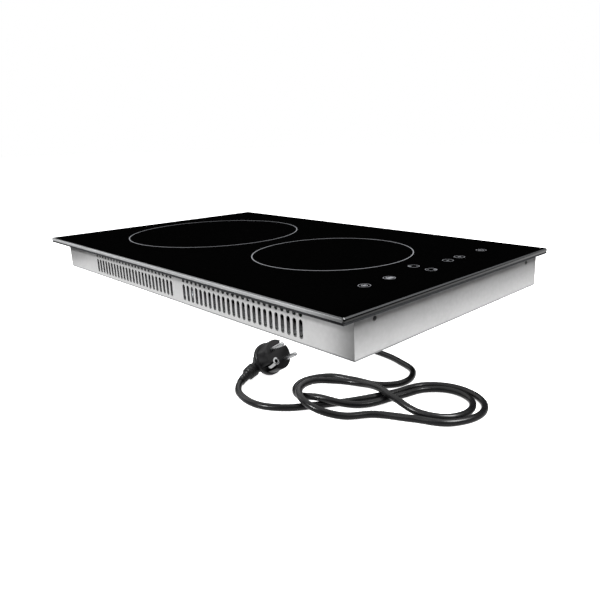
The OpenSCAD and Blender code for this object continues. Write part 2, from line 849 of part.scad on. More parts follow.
module core_wires() {
    color([0.4, 0.25, 0.15]) for (i = [-1 : 1])
        translate([main_plug.x + i * 4, main_plug.y + main_plug[3] / 2, wire_z])
            rotate([-90, 0, 0])
                cylinder(r = core_r, h = block_front - main_plug.y - main_plug[3] / 2);
    color([0.7, 0.75, 0.3]) {
        translate([earth_at.x, earth_at.y, floor_z]) difference() {
            disc(4, 5);
            hole(thread_r, 5);
        }
        translate([earth_at.x - 3.5, block_front, floor_z + 3]) rotate([90, 0, 0])
            cylinder(r = core_r, h = block_front - earth_at.y - 2.3);
    }
}

module cable_tail() {
    color([0.12, 0.12, 0.12]) {
        translate([cable_at.x, cable_at.y - tail_bend, tail_z - tail_bend])
            rotate([0, -90, 0]) intersection() {
                rotate_extrude() translate([tail_bend, 0]) circle(cable_d / 2, $fn = 32);
                translate([0, 0, -cable_d]) cube([4 * cable_d, 4 * cable_d, 2 * cable_d]);
            }
        translate([cable_at.x, cable_at.y - tail_bend, tail_z]) rotate([90, 0, 0])
            cylinder(r = cable_d / 2, h = cable_at.y - tail_bend - block_back, $fn = 32);
    }
}

clamp_top = tail_z + cable_d / 2 + 1.5;
clamp_split = 0.2;

module cord_clamp() {
    color([0.9, 0.9, 0.88]) difference() {
        translate([cable_at.x - clamp_size.x / 2, clamp_y - clamp_size.y / 2, 0]) {
            translate([0, 0, floor_z])
                cube([clamp_size.x, clamp_size.y, tail_z - clamp_split - floor_z]);
            translate([0, 0, tail_z + clamp_split])
                cube([clamp_size.x, clamp_size.y, clamp_top - tail_z - clamp_split]);
        }
        translate([cable_at.x, clamp_y + clamp_size.y, tail_z]) rotate([90, 0, 0])
            cylinder(r = cable_d / 2, h = 2 * clamp_size.y, $fn = 32);
        for (p = clamp_screw_at) {
            translate([p.x, p.y, floor_z - cut]) disc(thread_r, tail_z - floor_z + cut);
            translate([p.x, p.y, tail_z]) disc(hole_r, clamp_top - tail_z + cut);
        }
    }
}

relief_tip_r = 4.6;

module cord_bushing() {
    color([0.1, 0.1, 0.1]) translate([cable_at.x, cable_at.y, 0]) {
        translate([0, 0, floor_z]) disc(bushing_flange_r, bushing_flange_t);
        translate([0, 0, tray_z]) disc(bushing_r, base_t);
        translate([0, 0, tray_z - relief_l])
            cylinder(r1 = relief_tip_r, r2 = relief_r, h = relief_l);
    }
}

// ---- Control area ----

control_boss_x = 60;
control_boss_y = 20;
control_boss_r = 3;

module control_carrier() {
    color([0.85, 0.85, 0.82]) difference() {
        translate([-control_w / 2, control_y - control_l / 2, plate_top])
            cube([control_w, control_l, control_pcb_z + board_t - plate_top]);
        difference() {
            translate([-control_w / 2 + control_rim, control_y - control_l / 2 + control_rim,
                control_bottom])
                cube([control_w - 2 * control_rim, control_l - 2 * control_rim, tray_depth]);
            for (x = [-1, 0, 1], y = [-1, 1])
                translate([x * control_boss_x, control_y + y * control_boss_y,
                    control_bottom - cut])
                    disc(control_boss_r, control_pcb_z - control_bottom + cut);
        }
        for (x = [-1, 1]) translate([x * pillar_x, pillar_ys[0], plate_top])
            hole(hole_r, control_floor);
    }
}

control_plug = [22, 6, 3];

module control_board() {
    color([0.1, 0.3, 0.2]) {
        difference() {
            translate([-control_w / 2 + control_rim + control_gap,
                control_y - control_l / 2 + control_rim + control_gap, control_pcb_z])
                cube([control_w - 2 * control_rim - 2 * control_gap,
                    control_l - 2 * control_rim - 2 * control_gap, board_t]);
            for (x = [-1, 1]) translate([x * pillar_x, pillar_ys[0], control_pcb_z])
                hole(head_d / 2 + 1, board_t);
        }
        translate([ribbon_x - control_plug.x / 2, control_plug_y - control_plug.y / 2,
            control_pcb_z + board_t]) cube(control_plug);
    }
}

module touch_springs() {
    color("silver") for (p = keys) translate([p.x, p.y, glass_z - key_h]) difference() {
        disc(key_r, key_h);
        hole(key_r - 0.6, key_h);
    }
}

display_size = [24, 12];

module display_module() {
    color([0.15, 0.05, 0.05])
        translate([display_at.x - display_size.x / 2, display_at.y - display_size.y / 2,
            glass_z - key_h]) cube([display_size.x, display_size.y, key_h - 0.3]);
}

ribbon_top = glass_z - key_h + 1.2;
ribbon_low = board_top + 3;

module ribbon_cable() {
    color([0.75, 0.75, 0.78]) translate([ribbon_x - ribbon_w / 2, 0, 0]) {
        translate([0, control_plug_y + control_plug.y / 2, ribbon_top])
            cube([ribbon_w, ribbon_y - control_plug_y - control_plug.y / 2, ribbon_t]);
        translate([0, ribbon_y - ribbon_t, ribbon_low])
            cube([ribbon_w, ribbon_t, ribbon_top + ribbon_t - ribbon_low]);
        translate([0, ribbon_y - ribbon_t, ribbon_low])
            cube([ribbon_w, board_plug_y - 3 - ribbon_y + ribbon_t, ribbon_t]);
    }
}

// ---- Fan ----

// Outline of the scroll in plan: a round chamber with a straight outlet
module scroll(r, side) {
    circle(r, $fn = 96);
    translate([-r, outlet_y - fan_at.y]) square([r + side, fan_at.y - outlet_y]);
}

module fan_bosses() for (p = fan_boss_at) translate(p) circle(fan_boss_r);

module fan_housing() {
    color([0.2, 0.2, 0.2]) translate([fan_at.x, fan_at.y, floor_z]) difference() {
        union() {
            linear_extrude(fan_floor) scroll(fan_out, fan_wall);
            linear_extrude(lid_z - floor_z) difference() {
                scroll(fan_out, fan_wall);
                scroll(fan_in, 0);
                translate([-fan_in, outlet_y - fan_at.y - cut]) square([fan_in, 2 * cut]);
            }
            linear_extrude(lid_z - floor_z) fan_bosses();
        }
        hole(inlet_r, fan_floor);
        for (p = fan_boss_at) translate([p.x, p.y, 0]) hole(thread_r, fan_h);
    }
}

tube_z = lid_z - bearing_tube_l;

module fan_cover() {
    color([0.2, 0.2, 0.2]) translate([fan_at.x, fan_at.y, 0]) difference() {
        union() {
            translate([0, 0, lid_z]) linear_extrude(fan_lid) {
                scroll(fan_out, fan_wall);
                fan_bosses();
            }
            translate([0, 0, tube_z]) disc(bearing_tube_r, lid_z - tube_z);
        }
        translate([0, 0, tube_z - cut]) disc(bearing_r, lid_z - tube_z + cut);
        for (p = fan_boss_at) translate([p.x, p.y, lid_z]) hole(hole_r, fan_lid);
    }
}

blade_l = 10;
blade_t = 1;
blade_turn = 35;

module fan_rotor() {
    color([0.12, 0.12, 0.12]) translate([fan_at.x, fan_at.y, 0]) {
        translate([0, 0, hub_z]) difference() {
            disc(hub_r, rotor_top - hub_z);
            translate([0, 0, hub_floor]) disc(hub_r - hub_wall, rotor_top - hub_z);
            hole(shaft_r, hub_floor);
        }
        translate([0, 0, rotor_top - 1]) difference() {
            disc(fan_r, 1);
            hole(hub_r - 1, 1);
        }
        around(blade_count, fan_r - blade_l / 2) rotate(blade_turn)
            translate([-blade_l / 2, -blade_t / 2, hub_z - 0.5])
                cube([blade_l, blade_t, rotor_top - 0.5 - hub_z + 0.5]);
    }
}

module fan_shaft() {
    color("silver") translate([fan_at.x, fan_at.y, hub_z]) disc(shaft_r, lid_z - 0.5 - hub_z);
}

module fan_stator() {
    color([0.7, 0.4, 0.2]) translate([fan_at.x, fan_at.y, stator_z]) difference() {
        disc(hub_r - hub_wall - stator_gap, rotor_top - stator_z - 0.5);
        hole(bearing_tube_r, rotor_top - stator_z);
    }
}

module fan_bearings() {
    color([0.75, 0.6, 0.35]) for (z = [tube_z, lid_z - 0.5 - bearing_t])
        translate([fan_at.x, fan_at.y, z]) difference() {
            disc(bearing_r, bearing_t);
            hole(shaft_r + shaft_gap, bearing_t);
        }
}

// ---- Mains lead ----

last = len(route) - 1;
last_chord = unit(route[last] - route[last - 1]);
last_turn = bend(route, last - 1);
cord_end = 2 * last_chord * (last_chord * last_turn) - last_turn;

module power_cord() {
    color([0.1, 0.1, 0.1])
        tube(route, [0, 0, -1], cord_end, cable_d / 2, cable_d / 2, tube_sides, ring_step);
}

module plug_relief() {
    color([0.1, 0.1, 0.1])
        tube([route[last], plug_tail], cord_end, -neck_axis, relief_r1, relief_r2, 16, 3);
}

module plug_place() {
    translate(plug_at) rotate([0, -plug_tilt, plug_heading]) rotate([plug_roll, 0, 0])
        children();
}

// A cone or cylinder from x1 to x2 along the plug's axis
module barrel(x1, x2, r1, r2) translate([x1, 0, 0]) rotate([0, 90, 0])
    cylinder(r1 = r1, r2 = r2, h = x2 - x1, $fn = 64);

module plug_body() {
    color([0.1, 0.1, 0.1]) plug_place() difference() {
        union() {
            barrel(-nose_l, 0, plug_nose_r, plug_nose_r);
            barrel(-nose_l - flange_l, -nose_l, plug_flange_r, plug_flange_r);
            barrel(-plug_l, -nose_l - flange_l, back_r2, back_r1);
            translate([-neck_x, 0, 0]) rotate([-neck_turn, 0, 0])
                cylinder(r1 = neck_r, r2 = relief_r2, h = neck_l, $fn = 48);
        }
        for (s = [-1, 1]) {
            translate([0, s * pin_gap / 2, 0]) barrel(-pin_depth, cut, pin_r, pin_r);
            translate([-nose_l, -notch_w / 2, s > 0 ? plug_nose_r - notch_depth : -plug_nose_r - cut])
                cube([nose_l + cut, notch_w, notch_depth + cut]);
        }
        translate([0, 0, earth_offset]) barrel(-earth_depth, cut, earth_r, earth_r);
    }
}

module plug_pins() {
    color("silver") plug_place() for (s = [-1, 1]) translate([0, s * pin_gap / 2, 0]) {
        barrel(-pin_depth, pin_l - 1, pin_r, pin_r);
        barrel(pin_l - 1, pin_l, pin_r, pin_r - 0.8);
    }
}

clip_t = 1.5;
plate_t = 0.8;
plate_r = 4.2;

// Two side clips; the upper one bends over the face and ends in a ring at the earth socket
module plug_earth_clips() {
    clip_z = plug_nose_r - notch_depth;
    color("silver") plug_place() {
        for (s = [0, 1]) mirror([0, 0, s]) translate([-nose_l, -clip_w / 2, clip_z]) {
            cube([nose_l - 1, clip_w, clip_t]);
            translate([2, 0, clip_t]) cube([nose_l - 6, clip_w, clip_t]);
        }
        difference() {
            union() {
                translate([-2, -clip_w / 2, clip_z]) cube([2 + plate_t, clip_w, clip_t]);
                translate([0, -clip_w / 2, earth_offset])
                    cube([plate_t, clip_w, clip_z + clip_t - earth_offset]);
                translate([0, 0, earth_offset]) barrel(0, plate_t, plate_r, plate_r);
            }
            translate([0, 0, earth_offset]) barrel(-cut, plate_t + cut, earth_r, earth_r);
        }
    }
}

glass_top();
rim_seal();
glass_bond();
side_frame();
base_plate();
base_screws();
bracket_nuts();
coil_plate();
pillars();
inner_screws();
rear_coil_carrier();
rear_coil_winding();
rear_ferrites();
rear_pad();
rear_sensor();
rear_springs();
rear_leads();
front_coil_carrier();
front_coil_winding();
front_ferrites();
front_pad();
front_sensor();
front_springs();
front_leads();
insulation_sheet();
power_board();
board_posts();
heatsink();
power_transistors();
bridge_rectifiers();
film_capacitors();
choke_core();
choke_winding();
relay();
fuse();
board_transformer();
electrolytic_capacitors();
board_connectors();
coil_terminals();
terminal_block();
core_wires();
control_carrier();
control_board();
touch_springs();
display_module();
ribbon_cable();
fan_housing();
fan_cover();
fan_rotor();
fan_shaft();
fan_stator();
fan_bearings();
cord_bushing();
cord_clamp();
cable_tail();
power_cord();
plug_relief();
plug_body();
plug_pins();
plug_earth_clips();
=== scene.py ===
"""A two-zone built-in induction cooktop with its mains lead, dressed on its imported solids."""

import logging
import math
from dataclasses import dataclass, field
from enum import Enum
from typing import Iterable, Optional, Sequence

import bmesh
import bpy
from mathutils import Matrix, Vector


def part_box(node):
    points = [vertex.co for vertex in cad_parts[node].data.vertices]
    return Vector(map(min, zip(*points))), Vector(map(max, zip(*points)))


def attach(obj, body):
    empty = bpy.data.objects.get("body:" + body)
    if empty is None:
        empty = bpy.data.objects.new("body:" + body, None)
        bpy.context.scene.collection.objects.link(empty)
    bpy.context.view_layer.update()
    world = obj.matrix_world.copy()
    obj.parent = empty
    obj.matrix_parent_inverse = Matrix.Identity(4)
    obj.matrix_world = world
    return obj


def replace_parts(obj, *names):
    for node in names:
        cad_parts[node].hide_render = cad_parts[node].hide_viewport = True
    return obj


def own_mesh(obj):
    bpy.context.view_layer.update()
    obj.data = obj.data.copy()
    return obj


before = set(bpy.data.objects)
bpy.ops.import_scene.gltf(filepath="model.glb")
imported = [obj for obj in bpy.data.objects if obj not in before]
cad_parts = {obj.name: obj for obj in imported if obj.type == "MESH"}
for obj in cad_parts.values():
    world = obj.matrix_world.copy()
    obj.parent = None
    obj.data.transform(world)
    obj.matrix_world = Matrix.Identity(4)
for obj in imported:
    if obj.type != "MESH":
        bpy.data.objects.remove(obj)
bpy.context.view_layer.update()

MM = 0.001
SHARP_DEG = 40.0
WHITE = (1.0, 1.0, 1.0, 1.0)
LOG = logging.getLogger("cooktop")

Colour = tuple[float, float, float, float]
Flat = tuple[float, float]
Point = tuple[float, float, float]
Shell = tuple[list[Vector], list[list[int]]]
Tree = bpy.types.NodeTree
Socket = bpy.types.NodeSocket
Piece = bpy.types.Object


# ---- Colours, nodes and finishes ----


def linear(code: str) -> Colour:
    """Turn an sRGB hex colour into a linear one.

    Args:
        code: Six hex digits.

    Returns:
        Linear red, green and blue, and an alpha of 1.
    """
    parts = [int(code[i:i + 2], 16) / 255 for i in (0, 2, 4)]
    red, green, blue = [c / 12.92 if c <= 0.04045 else ((c + 0.055) / 1.055) ** 2.4
                        for c in parts]
    return red, green, blue, 1.0


def add(tree: Tree, kind: str, sockets: Optional[dict] = None,
        **settings: object) -> bpy.types.Node:
    """Add a node with its settings, and set or link its inputs.

    Args:
        tree: The node tree it goes into.
        kind: The node's type name.
        sockets: Input name or number to a value, or to the socket that feeds it.
        **settings: The node's own properties.

    Returns:
        The new node.
    """
    node = tree.nodes.new(kind)
    for name, value in settings.items():
        setattr(node, name, value)
    for name, value in (sockets or {}).items():
        if isinstance(value, Socket):
            tree.links.new(value, node.inputs[name])
        else:
            node.inputs[name].default_value = value
    return node


def cleared(owner: bpy.types.ID) -> Tree:
    """Return the node tree of a new material or world, emptied.

    Args:
        owner: The material or world.

    Returns:
        Its tree.
    """
    owner.use_nodes = True
    owner.node_tree.nodes.clear()
    return owner.node_tree


class Coat:
    """The material of one finish while its nodes are put in."""

    # How strong each finer octave of speckles is, and the range that most speckles lie in.
    falloff: float = 0.55
    usual: Flat = (0.3, 0.7)
    # The least and the most roughness that the gloss may wander to.
    roughness_limits: Flat = (0.02, 1.0)

    def __init__(self, finish: "Finish", material: bpy.types.Material) -> None:
        """Start with the shader, the output and the object's own coordinates.

        Args:
            finish: The finish to show.
            material: The new material.
        """
        self.finish = finish
        self.tree = cleared(material)
        self.shader = add(self.tree, "ShaderNodeBsdfPrincipled", {
            "Base Color": linear(finish.colour), "Roughness": finish.roughness,
            "Metallic": finish.metallic})
        if finish.ior is not None:
            self.shader.inputs["IOR"].default_value = finish.ior
        add(self.tree, "ShaderNodeOutputMaterial", {"Surface": self.shader.outputs["BSDF"]})
        self.place = add(self.tree, "ShaderNodeTexCoord").outputs["Object"]
        # What a pattern of cells as large as the grain reads.
        self.cells = {"Vector": self.place, "Scale": 1 / (finish.grain_mm * MM)}

    def speckle(self, size_mm: float, octaves: float = 3.0,
                stretch: Point = (1, 1, 1)) -> Socket:
        """Add soft speckles.

        Args:
            size_mm: How large they are.
            octaves: How much fine detail they carry.
            stretch: How many times longer they are along each axis.

        Returns:
            Their value.
        """
        spot = add(self.tree, "ShaderNodeMapping", {
            "Vector": self.place, "Scale": [1 / s for s in stretch]})
        return add(self.tree, "ShaderNodeTexNoise", {
            "Vector": spot.outputs["Vector"], "Scale": 1 / (size_mm * MM),
            "Detail": octaves, "Roughness": self.falloff}).outputs["Fac"]

    def tint(self, amount: Socket) -> None:
        """Blend the base colour towards the second one as the amount rises.

        Args:
            amount: The pattern.
        """
        if not self.finish.second:
            return
        ramp = add(self.tree, "ShaderNodeValToRGB", {"Fac": amount})
        for stop, position, code in zip(ramp.color_ramp.elements, self.finish.blend,
                                        (self.finish.colour, self.finish.second)):
            stop.position, stop.color = position, linear(code)
        self.tree.links.new(ramp.outputs["Color"], self.shader.inputs["Base Color"])

    def gloss(self, amount: Socket) -> None:
        """Let the roughness wander by the finish's spread.

        Args:
            amount: The pattern.
        """
        middle, spread = self.finish.roughness, self.finish.spread
        (low, high), (least, most) = self.usual, self.roughness_limits
        wander = add(self.tree, "ShaderNodeMapRange", {
            "Value": amount, "From Min": low, "From Max": high,
            "To Min": max(least, middle - spread), "To Max": min(most, middle + spread)})
        self.tree.links.new(wander.outputs["Result"], self.shader.inputs["Roughness"])

    def emboss(self, height: Socket) -> None:
        """Raise the surface by the finish's depth where the height is 1.

        Args:
            height: The pattern.
        """
        raised = add(self.tree, "ShaderNodeBump", {
            "Height": height, "Strength": 1.0, "Distance": self.finish.depth_mm * MM})
        self.tree.links.new(raised.outputs["Normal"], self.shader.inputs["Normal"])


@dataclass(frozen=True)
class Finish:
    """One surface: what it is made of, and how that looks.

    The second colour shows where the pattern is high: the blend between the two starts and
    ends at the values given. A spread of 0 keeps the gloss even. Clouds are soft patches of
    the second colour, so many times larger than the grain.
    """

    name: str
    colour: str
    roughness: float
    metallic: float = 0.0
    ior: Optional[float] = None
    grain_mm: float = 1.0
    depth_mm: float = 0.02
    spread: float = 0.06
    second: str = ""
    blend: Flat = (0.35, 0.65)
    clouds: float = 25.0

    def material(self) -> bpy.types.Material:
        """Return the finish's material, which is made once.

        Returns:
            The material.
        """
        found = bpy.data.materials.get(self.name)
        if found:
            return found
        material = bpy.data.materials.new(self.name)
        material.diffuse_color = linear(self.colour)
        self.detail(Coat(self, material))
        return material

    def detail(self, coat: Coat) -> None:
        """Add a fine grain and soft clouds.

        Args:
            coat: The material to add them to.
        """
        grain = coat.speckle(self.grain_mm, octaves=4.0)
        coat.tint(coat.speckle(self.clouds * self.grain_mm, octaves=2.0))
        coat.gloss(grain)
        coat.emboss(grain)


@dataclass(frozen=True)
class Patterned(Finish):
    """A surface whose one pattern gives its colour, its gloss and its relief."""

    def detail(self, coat: Coat) -> None:
        """Add the pattern.

        Args:
            coat: The material to add it to.
        """
        pattern = self.pattern(coat)
        coat.tint(pattern)
        if self.spread:
            coat.gloss(pattern)
        coat.emboss(pattern)

    def pattern(self, coat: Coat) -> Socket:
        """Return plain cells of the grain's size."""
        return add(coat.tree, "ShaderNodeTexVoronoi", coat.cells).outputs["Distance"]


@dataclass(frozen=True)
class Polished(Finish):
    """A polished plate: faint wiping marks change its gloss and nothing else."""

    wipe: Point = (1, 4, 1)

    def detail(self, coat: Coat) -> None:
        """Add soft wiping marks."""
        coat.gloss(coat.speckle(self.grain_mm, stretch=self.wipe))


@dataclass(frozen=True)
class RolledSheet(Finish):
    """Coated sheet: cloudy zinc grains, faint rolling lines and a satin face."""

    line_mm: float = 0.6
    line_run: Point = (1, 60, 1)
    cloud_mm: float = 30.0
    cloud_lift: float = 0.28
    satin_mm: float = 12.0

    def detail(self, coat: Coat) -> None:
        """Add the zinc grains, the uneven satin and the rolling lines.

        Args:
            coat: The material to add them to.
        """
        grains = add(coat.tree, "ShaderNodeTexVoronoi", coat.cells, feature="SMOOTH_F1")
        cloud = add(coat.tree, "ShaderNodeMath", {
            0: grains.outputs["Distance"], 1: coat.speckle(self.cloud_mm),
            2: self.cloud_lift}, operation="MULTIPLY_ADD")
        coat.tint(cloud.outputs["Value"])
        coat.gloss(coat.speckle(self.satin_mm, octaves=4.0))
        coat.emboss(coat.speckle(self.line_mm, stretch=self.line_run))


@dataclass(frozen=True)
class Wound(Patterned):
    """Twisted litz wire: short bulges of its strands that catch the light one by one."""

    blend: Flat = (0.1, 0.7)


@dataclass(frozen=True)
class Laminate(Patterned):
    """A circuit board: the mask is lighter and a little proud over the copper."""

    spread: float = 0.0
    blend: Flat = (0.08, 0.12)

    def pattern(self, coat: Coat) -> Socket:
        """Return broad copper areas with narrow gaps between them."""
        return add(coat.tree, "ShaderNodeTexVoronoi", coat.cells,
                   feature="DISTANCE_TO_EDGE").outputs["Distance"]


@dataclass(frozen=True)
class Foamed(Patterned):
    """Foam or fibre felt: a fine pit in the middle of each cell, and a tint that changes from the
    middle of a cell to its edge.
    """

    spread: float = 0.0
    blend: Flat = (0.1, 0.8)


@dataclass(frozen=True)
class Drawn(Patterned):
    """Drawn, ground or extruded stock: fine lines along one axis.

    A run of 1 along every axis gives an even grain, as on bright wire and plated pins.
    """

    run: Point = (1, 80, 1)

    def pattern(self, coat: Coat) -> Socket:
        """Return the die lines."""
        return coat.speckle(self.grain_mm, stretch=self.run)


# Black glass ceramic, rolled and fire-polished: deep black, with a mirror-like skin.
GLASS = Polished("Black glass ceramic", "010101", 0.07, ior=1.5, grain_mm=18, spread=0.025)
# Polished bevel along the plate's edges: the same black glass, its gloss a shade softer than the
# face, and painted dark grey: painted sheen where the bevel catches the light.
GLASS_FACET_PAINTED_SHEEN = Finish("Glass facet with painted sheen", "313233", 0.3, ior=1.5, grain_mm=0.4,
                     depth_mm=0.002)
# Ground edge along both sides: the wheel leaves it frosted. Its light grey is painted light where
# the lamp falls on the left edge; the front and back edges keep the black glass.
GLASS_SIDE_PAINTED_LIGHT = Finish("Ground glass side with painted light", "A2A3A4", 0.5, ior=1.5, grain_mm=0.3,
                    depth_mm=0.004, second="9A9B9C")
# Fired ceramic ink, screen printed: a thin grey film without gloss.
INK = Finish("Grey ceramic ink", "66676A", 0.55, ior=1.5, grain_mm=0.3, depth_mm=0.004,
             second="5C5D60")
# Zinc-coated steel sheet with a clear passivation: light grey, satin, softly clouded.
SHEET = RolledSheet("Zinc-coated steel sheet", "CECECE", 0.2, metallic=0.6, grain_mm=3.5,
                    depth_mm=0.0006, spread=0.03, second="C8C8C8")
# The same sheet as the base plate, darker and duller than the tray's.
BASE_SHEET = RolledSheet("Zinc-coated base sheet", "9C9D9E", 0.36, metallic=0.55, grain_mm=4.5,
                         depth_mm=0.001, spread=0.05, second="959697")
# Zinc-plated steel of screws and nuts: bluish silver, with a soft metallic shine.
ZINC = Drawn("Zinc-plated steel", "C2C5CA", 0.3, metallic=1.0, grain_mm=0.25, depth_mm=0.004,
             spread=0.08, run=(1, 1, 6))
# Cross-linked foam of the rim seal: black closed cells, no gloss.
FOAM = Foamed("Black sealing foam", "17181A", 0.95, ior=1.5, grain_mm=0.6, depth_mm=0.15,
              second="26272A")
# Cured silicone: black, smooth and slightly greasy.
SILICONE = Finish("Black silicone bond", "1B1C1D", 0.5, ior=1.4, grain_mm=2.0, depth_mm=0.05)
# Mill-finish aluminium plate: bright, with rolling lines.
PLATE_ALUMINIUM = Drawn("Rolled aluminium plate", "D3D4D6", 0.32, metallic=1.0, grain_mm=0.4,
                        depth_mm=0.004, second="C6C8CB")
# Extruded aluminium of the heatsink: die lines along the fins.
HEATSINK = Drawn("Extruded aluminium", "C3C6C9", 0.38, metallic=1.0, grain_mm=0.3,
                 depth_mm=0.01, second="B4B7BB")
# Enamelled copper litz: reddish brown, twisted strands.
COPPER = Wound("Enamelled copper litz", "B4693A", 0.35, metallic=0.85, grain_mm=0.5,
               depth_mm=0.08, spread=0.1, second="8A4B26")
# Sintered ferrite: charcoal grey, dense and matt.
FERRITE = Finish("Sintered ferrite", "3A3B3E", 0.7, ior=1.8, grain_mm=0.5, depth_mm=0.02,
                 second="303134")
# Ceramic fibre felt of the coil pads: off-white and fluffy.
FELT = Foamed("Ceramic fibre felt", "DAD6CA", 0.95, ior=1.5, grain_mm=0.8, depth_mm=0.2,
              second="C9C4B6")
# Glazed alumina of the sensor caps: clean white, with a soft gloss.
ALUMINA = Finish("White alumina", "E6E4DE", 0.35, ior=1.7, grain_mm=0.6, depth_mm=0.01)
# Drawn spring steel wire: smooth and bright.
SPRING = Drawn("Spring steel wire", "B8BABD", 0.25, metallic=1.0, grain_mm=0.2, depth_mm=0.004,
               run=(1, 1, 1))
# Heat-resistant moulding of the coil carriers: the glass filling leaves its ivory matt.
CARRIER = Finish("Glass-filled ivory moulding", "CFC8B6", 0.6, ior=1.5, grain_mm=0.5,
                 depth_mm=0.02, second="C5BDA9")
# Moulded white polyamide of posts, connectors and carriers: milky, half matt.
NYLON = Finish("White polyamide", "E4E2DB", 0.5, ior=1.53, grain_mm=0.6, depth_mm=0.015,
               second="DAD7CD")
# Extruded silicone sleeve of the wires: brick red and soft, without gloss.
SLEEVE = Finish("Silicone wire sleeve", "A8452F", 0.55, ior=1.4, grain_mm=0.4, depth_mm=0.02,
                second="963B27")
# Extruded insulating film under the power board: black, smooth, half matt.
FILM = Finish("Black insulating film", "141415", 0.5, ior=1.5, grain_mm=1.5, depth_mm=0.01)
# Solder mask screened over etched copper: green, the tracks lighter under it.
BOARD = Laminate("Green circuit board", "1F5A38", 0.35, ior=1.5, grain_mm=4.0, depth_mm=0.04,
                 second="2A6B45")
# Transfer-moulded epoxy of the power devices: near black, matt and grainy.
EPOXY = Finish("Black device epoxy", "242526", 0.6, ior=1.55, grain_mm=0.4, depth_mm=0.02,
               second="2B2C2D")
# Moulded boxes of the film capacitors, potted: brick red and glossy.
CAPACITOR = Finish("Red potted box", "A8402A", 0.3, ior=1.5, grain_mm=2.0, depth_mm=0.02,
                   second="9C3A26")
# Moulded relay case: blue and glossy.
RELAY = Finish("Blue relay case", "2B4A8E", 0.3, ior=1.5, grain_mm=1.5, depth_mm=0.01)
# Glazed ceramic of the fuse: cream and glossy.
FUSE = Finish("Fuse ceramic", "DDD8CB", 0.3, ior=1.6, grain_mm=0.8, depth_mm=0.01)
# Polyester tape wound round the transformer: yellow, with a soft shine.
TAPE = Finish("Yellow winding tape", "D8B23A", 0.35, ior=1.5, grain_mm=1.2, depth_mm=0.02,
              second="CDA632")
# Shrunk sleeve of the electrolytic capacitors: dark blue and glossy.
SHRINK = Finish("Dark shrink sleeve", "24264A", 0.3, ior=1.5, grain_mm=1.5, depth_mm=0.01)
# Pressed and tinned brass terminals: pale yellow metal.
BRASS = Drawn("Tinned brass", "C9B57C", 0.3, metallic=1.0, grain_mm=0.3, depth_mm=0.004,
              run=(1, 1, 4))
# Moulded smoked acrylic of the display window: very dark red, clear gloss.
SMOKED = Finish("Smoked display window", "2A0E10", 0.15, ior=1.49, grain_mm=4.0, depth_mm=0.005)
# Extruded PVC of the ribbon cable: grey, with a ridge for each wire.
RIBBON = Drawn("Grey ribbon cable", "A9ABB0", 0.5, ior=1.5, grain_mm=1.27, depth_mm=0.2,
               second="8F9197", run=(1, 400, 400))
# Glass-filled moulding of the fan: black, its gloss broken by the filling.
FAN = Finish("Black glass-filled moulding", "222324", 0.55, ior=1.5, grain_mm=0.5,
             depth_mm=0.02, second="292A2B")
# Ground steel of the fan shaft: bright and even.
SHAFT = Drawn("Ground steel shaft", "C8CACC", 0.2, metallic=1.0, grain_mm=0.1, depth_mm=0.002,
              run=(1, 1, 1))
# Pressed and sintered bronze bearings: brown, dulled by their pores.
BRONZE = Finish("Sintered bronze", "A98450", 0.45, metallic=1.0, grain_mm=0.3, depth_mm=0.01,
                second="98744A")
# Extruded rubber of the mains lead: black, with a satin skin that shows a soft line of light.
CORD_RUBBER = Finish("Extruded black rubber", "070708", 0.29, ior=1.35, grain_mm=0.5,
                     depth_mm=0.008, spread=0.06, second="0F0F10")
# Rubber of plug and strain reliefs, moulded in a spark-eroded tool: black, dull, finely grained.
PLUG_RUBBER = Finish("Moulded black rubber", "08080A", 0.34, ior=1.36, grain_mm=0.45,
                     depth_mm=0.015, spread=0.07, second="101011")
# Nickel-plated brass of pins and earth clips: warm white metal, nearly a mirror.
NICKEL = Drawn("Nickel-plated brass", "B2B3B4", 0.24, metallic=1.0, grain_mm=0.3, depth_mm=0.003,
               run=(1, 1, 1))


# ---- Meshes ----


def shown(name: str, data: bpy.types.ID) -> Piece:
    """Put a mesh, a lamp or a camera into the scene.

    Args:
        name: The object's name.
        data: What it shows.

    Returns:
        The object, at the origin.
    """
    thing = bpy.data.objects.new(name, data)
    bpy.context.scene.collection.objects.link(thing)
    return thing


def make(name: str, verts: Iterable[Sequence[float]], faces: Iterable[Sequence[int]],
         finish: Finish, body: str = "hob", sharp_deg: float = SHARP_DEG) -> Piece:
    """Make one closed piece from points in metres.

    Args:
        name: The piece's name.
        verts: Points in the row frame.
        faces: Point numbers of each face.
        finish: What it is made of.
        body: The body that it rides on.
        sharp_deg: Edges that turn more than this stay sharp.

    Returns:
        The finished object, at the origin.
    """
    mesh = bpy.data.meshes.new(name)
    mesh.from_pydata([tuple(v) for v in verts], [], [tuple(f) for f in faces])
    mesh.materials.append(finish.material())
    tidy(mesh, sharp_deg)
    piece = shown(name, mesh)
    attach(piece, body)
    LOG.info("%s: %d faces, rides on %s", name, len(mesh.polygons), body)
    return piece


def tidy(mesh: bpy.types.Mesh, sharp_deg: float) -> None:
    """Join doubled points, turn every face outward and keep only the real edges sharp.

    Args:
        mesh: The mesh to mend.
        sharp_deg: Edges that turn more than this stay sharp.
    """
    work = bmesh.new()
    work.from_mesh(mesh)
    bmesh.ops.remove_doubles(work, verts=work.verts, dist=1e-7)
    bmesh.ops.recalc_face_normals(work, faces=work.faces)
    work.to_mesh(mesh)
    work.free()
    mesh.shade_smooth()
    mesh.set_sharp_from_angle(angle=math.radians(sharp_deg))


def applied(piece: Piece) -> None:
    """Turn a piece's modifiers into plain mesh.

    Args:
        piece: The piece, which keeps its name and place.
    """
    graph = bpy.context.evaluated_depsgraph_get()
    mesh = bpy.data.meshes.new_from_object(piece.evaluated_get(graph), depsgraph=graph)
    piece.modifiers.clear()
    piece.data = mesh


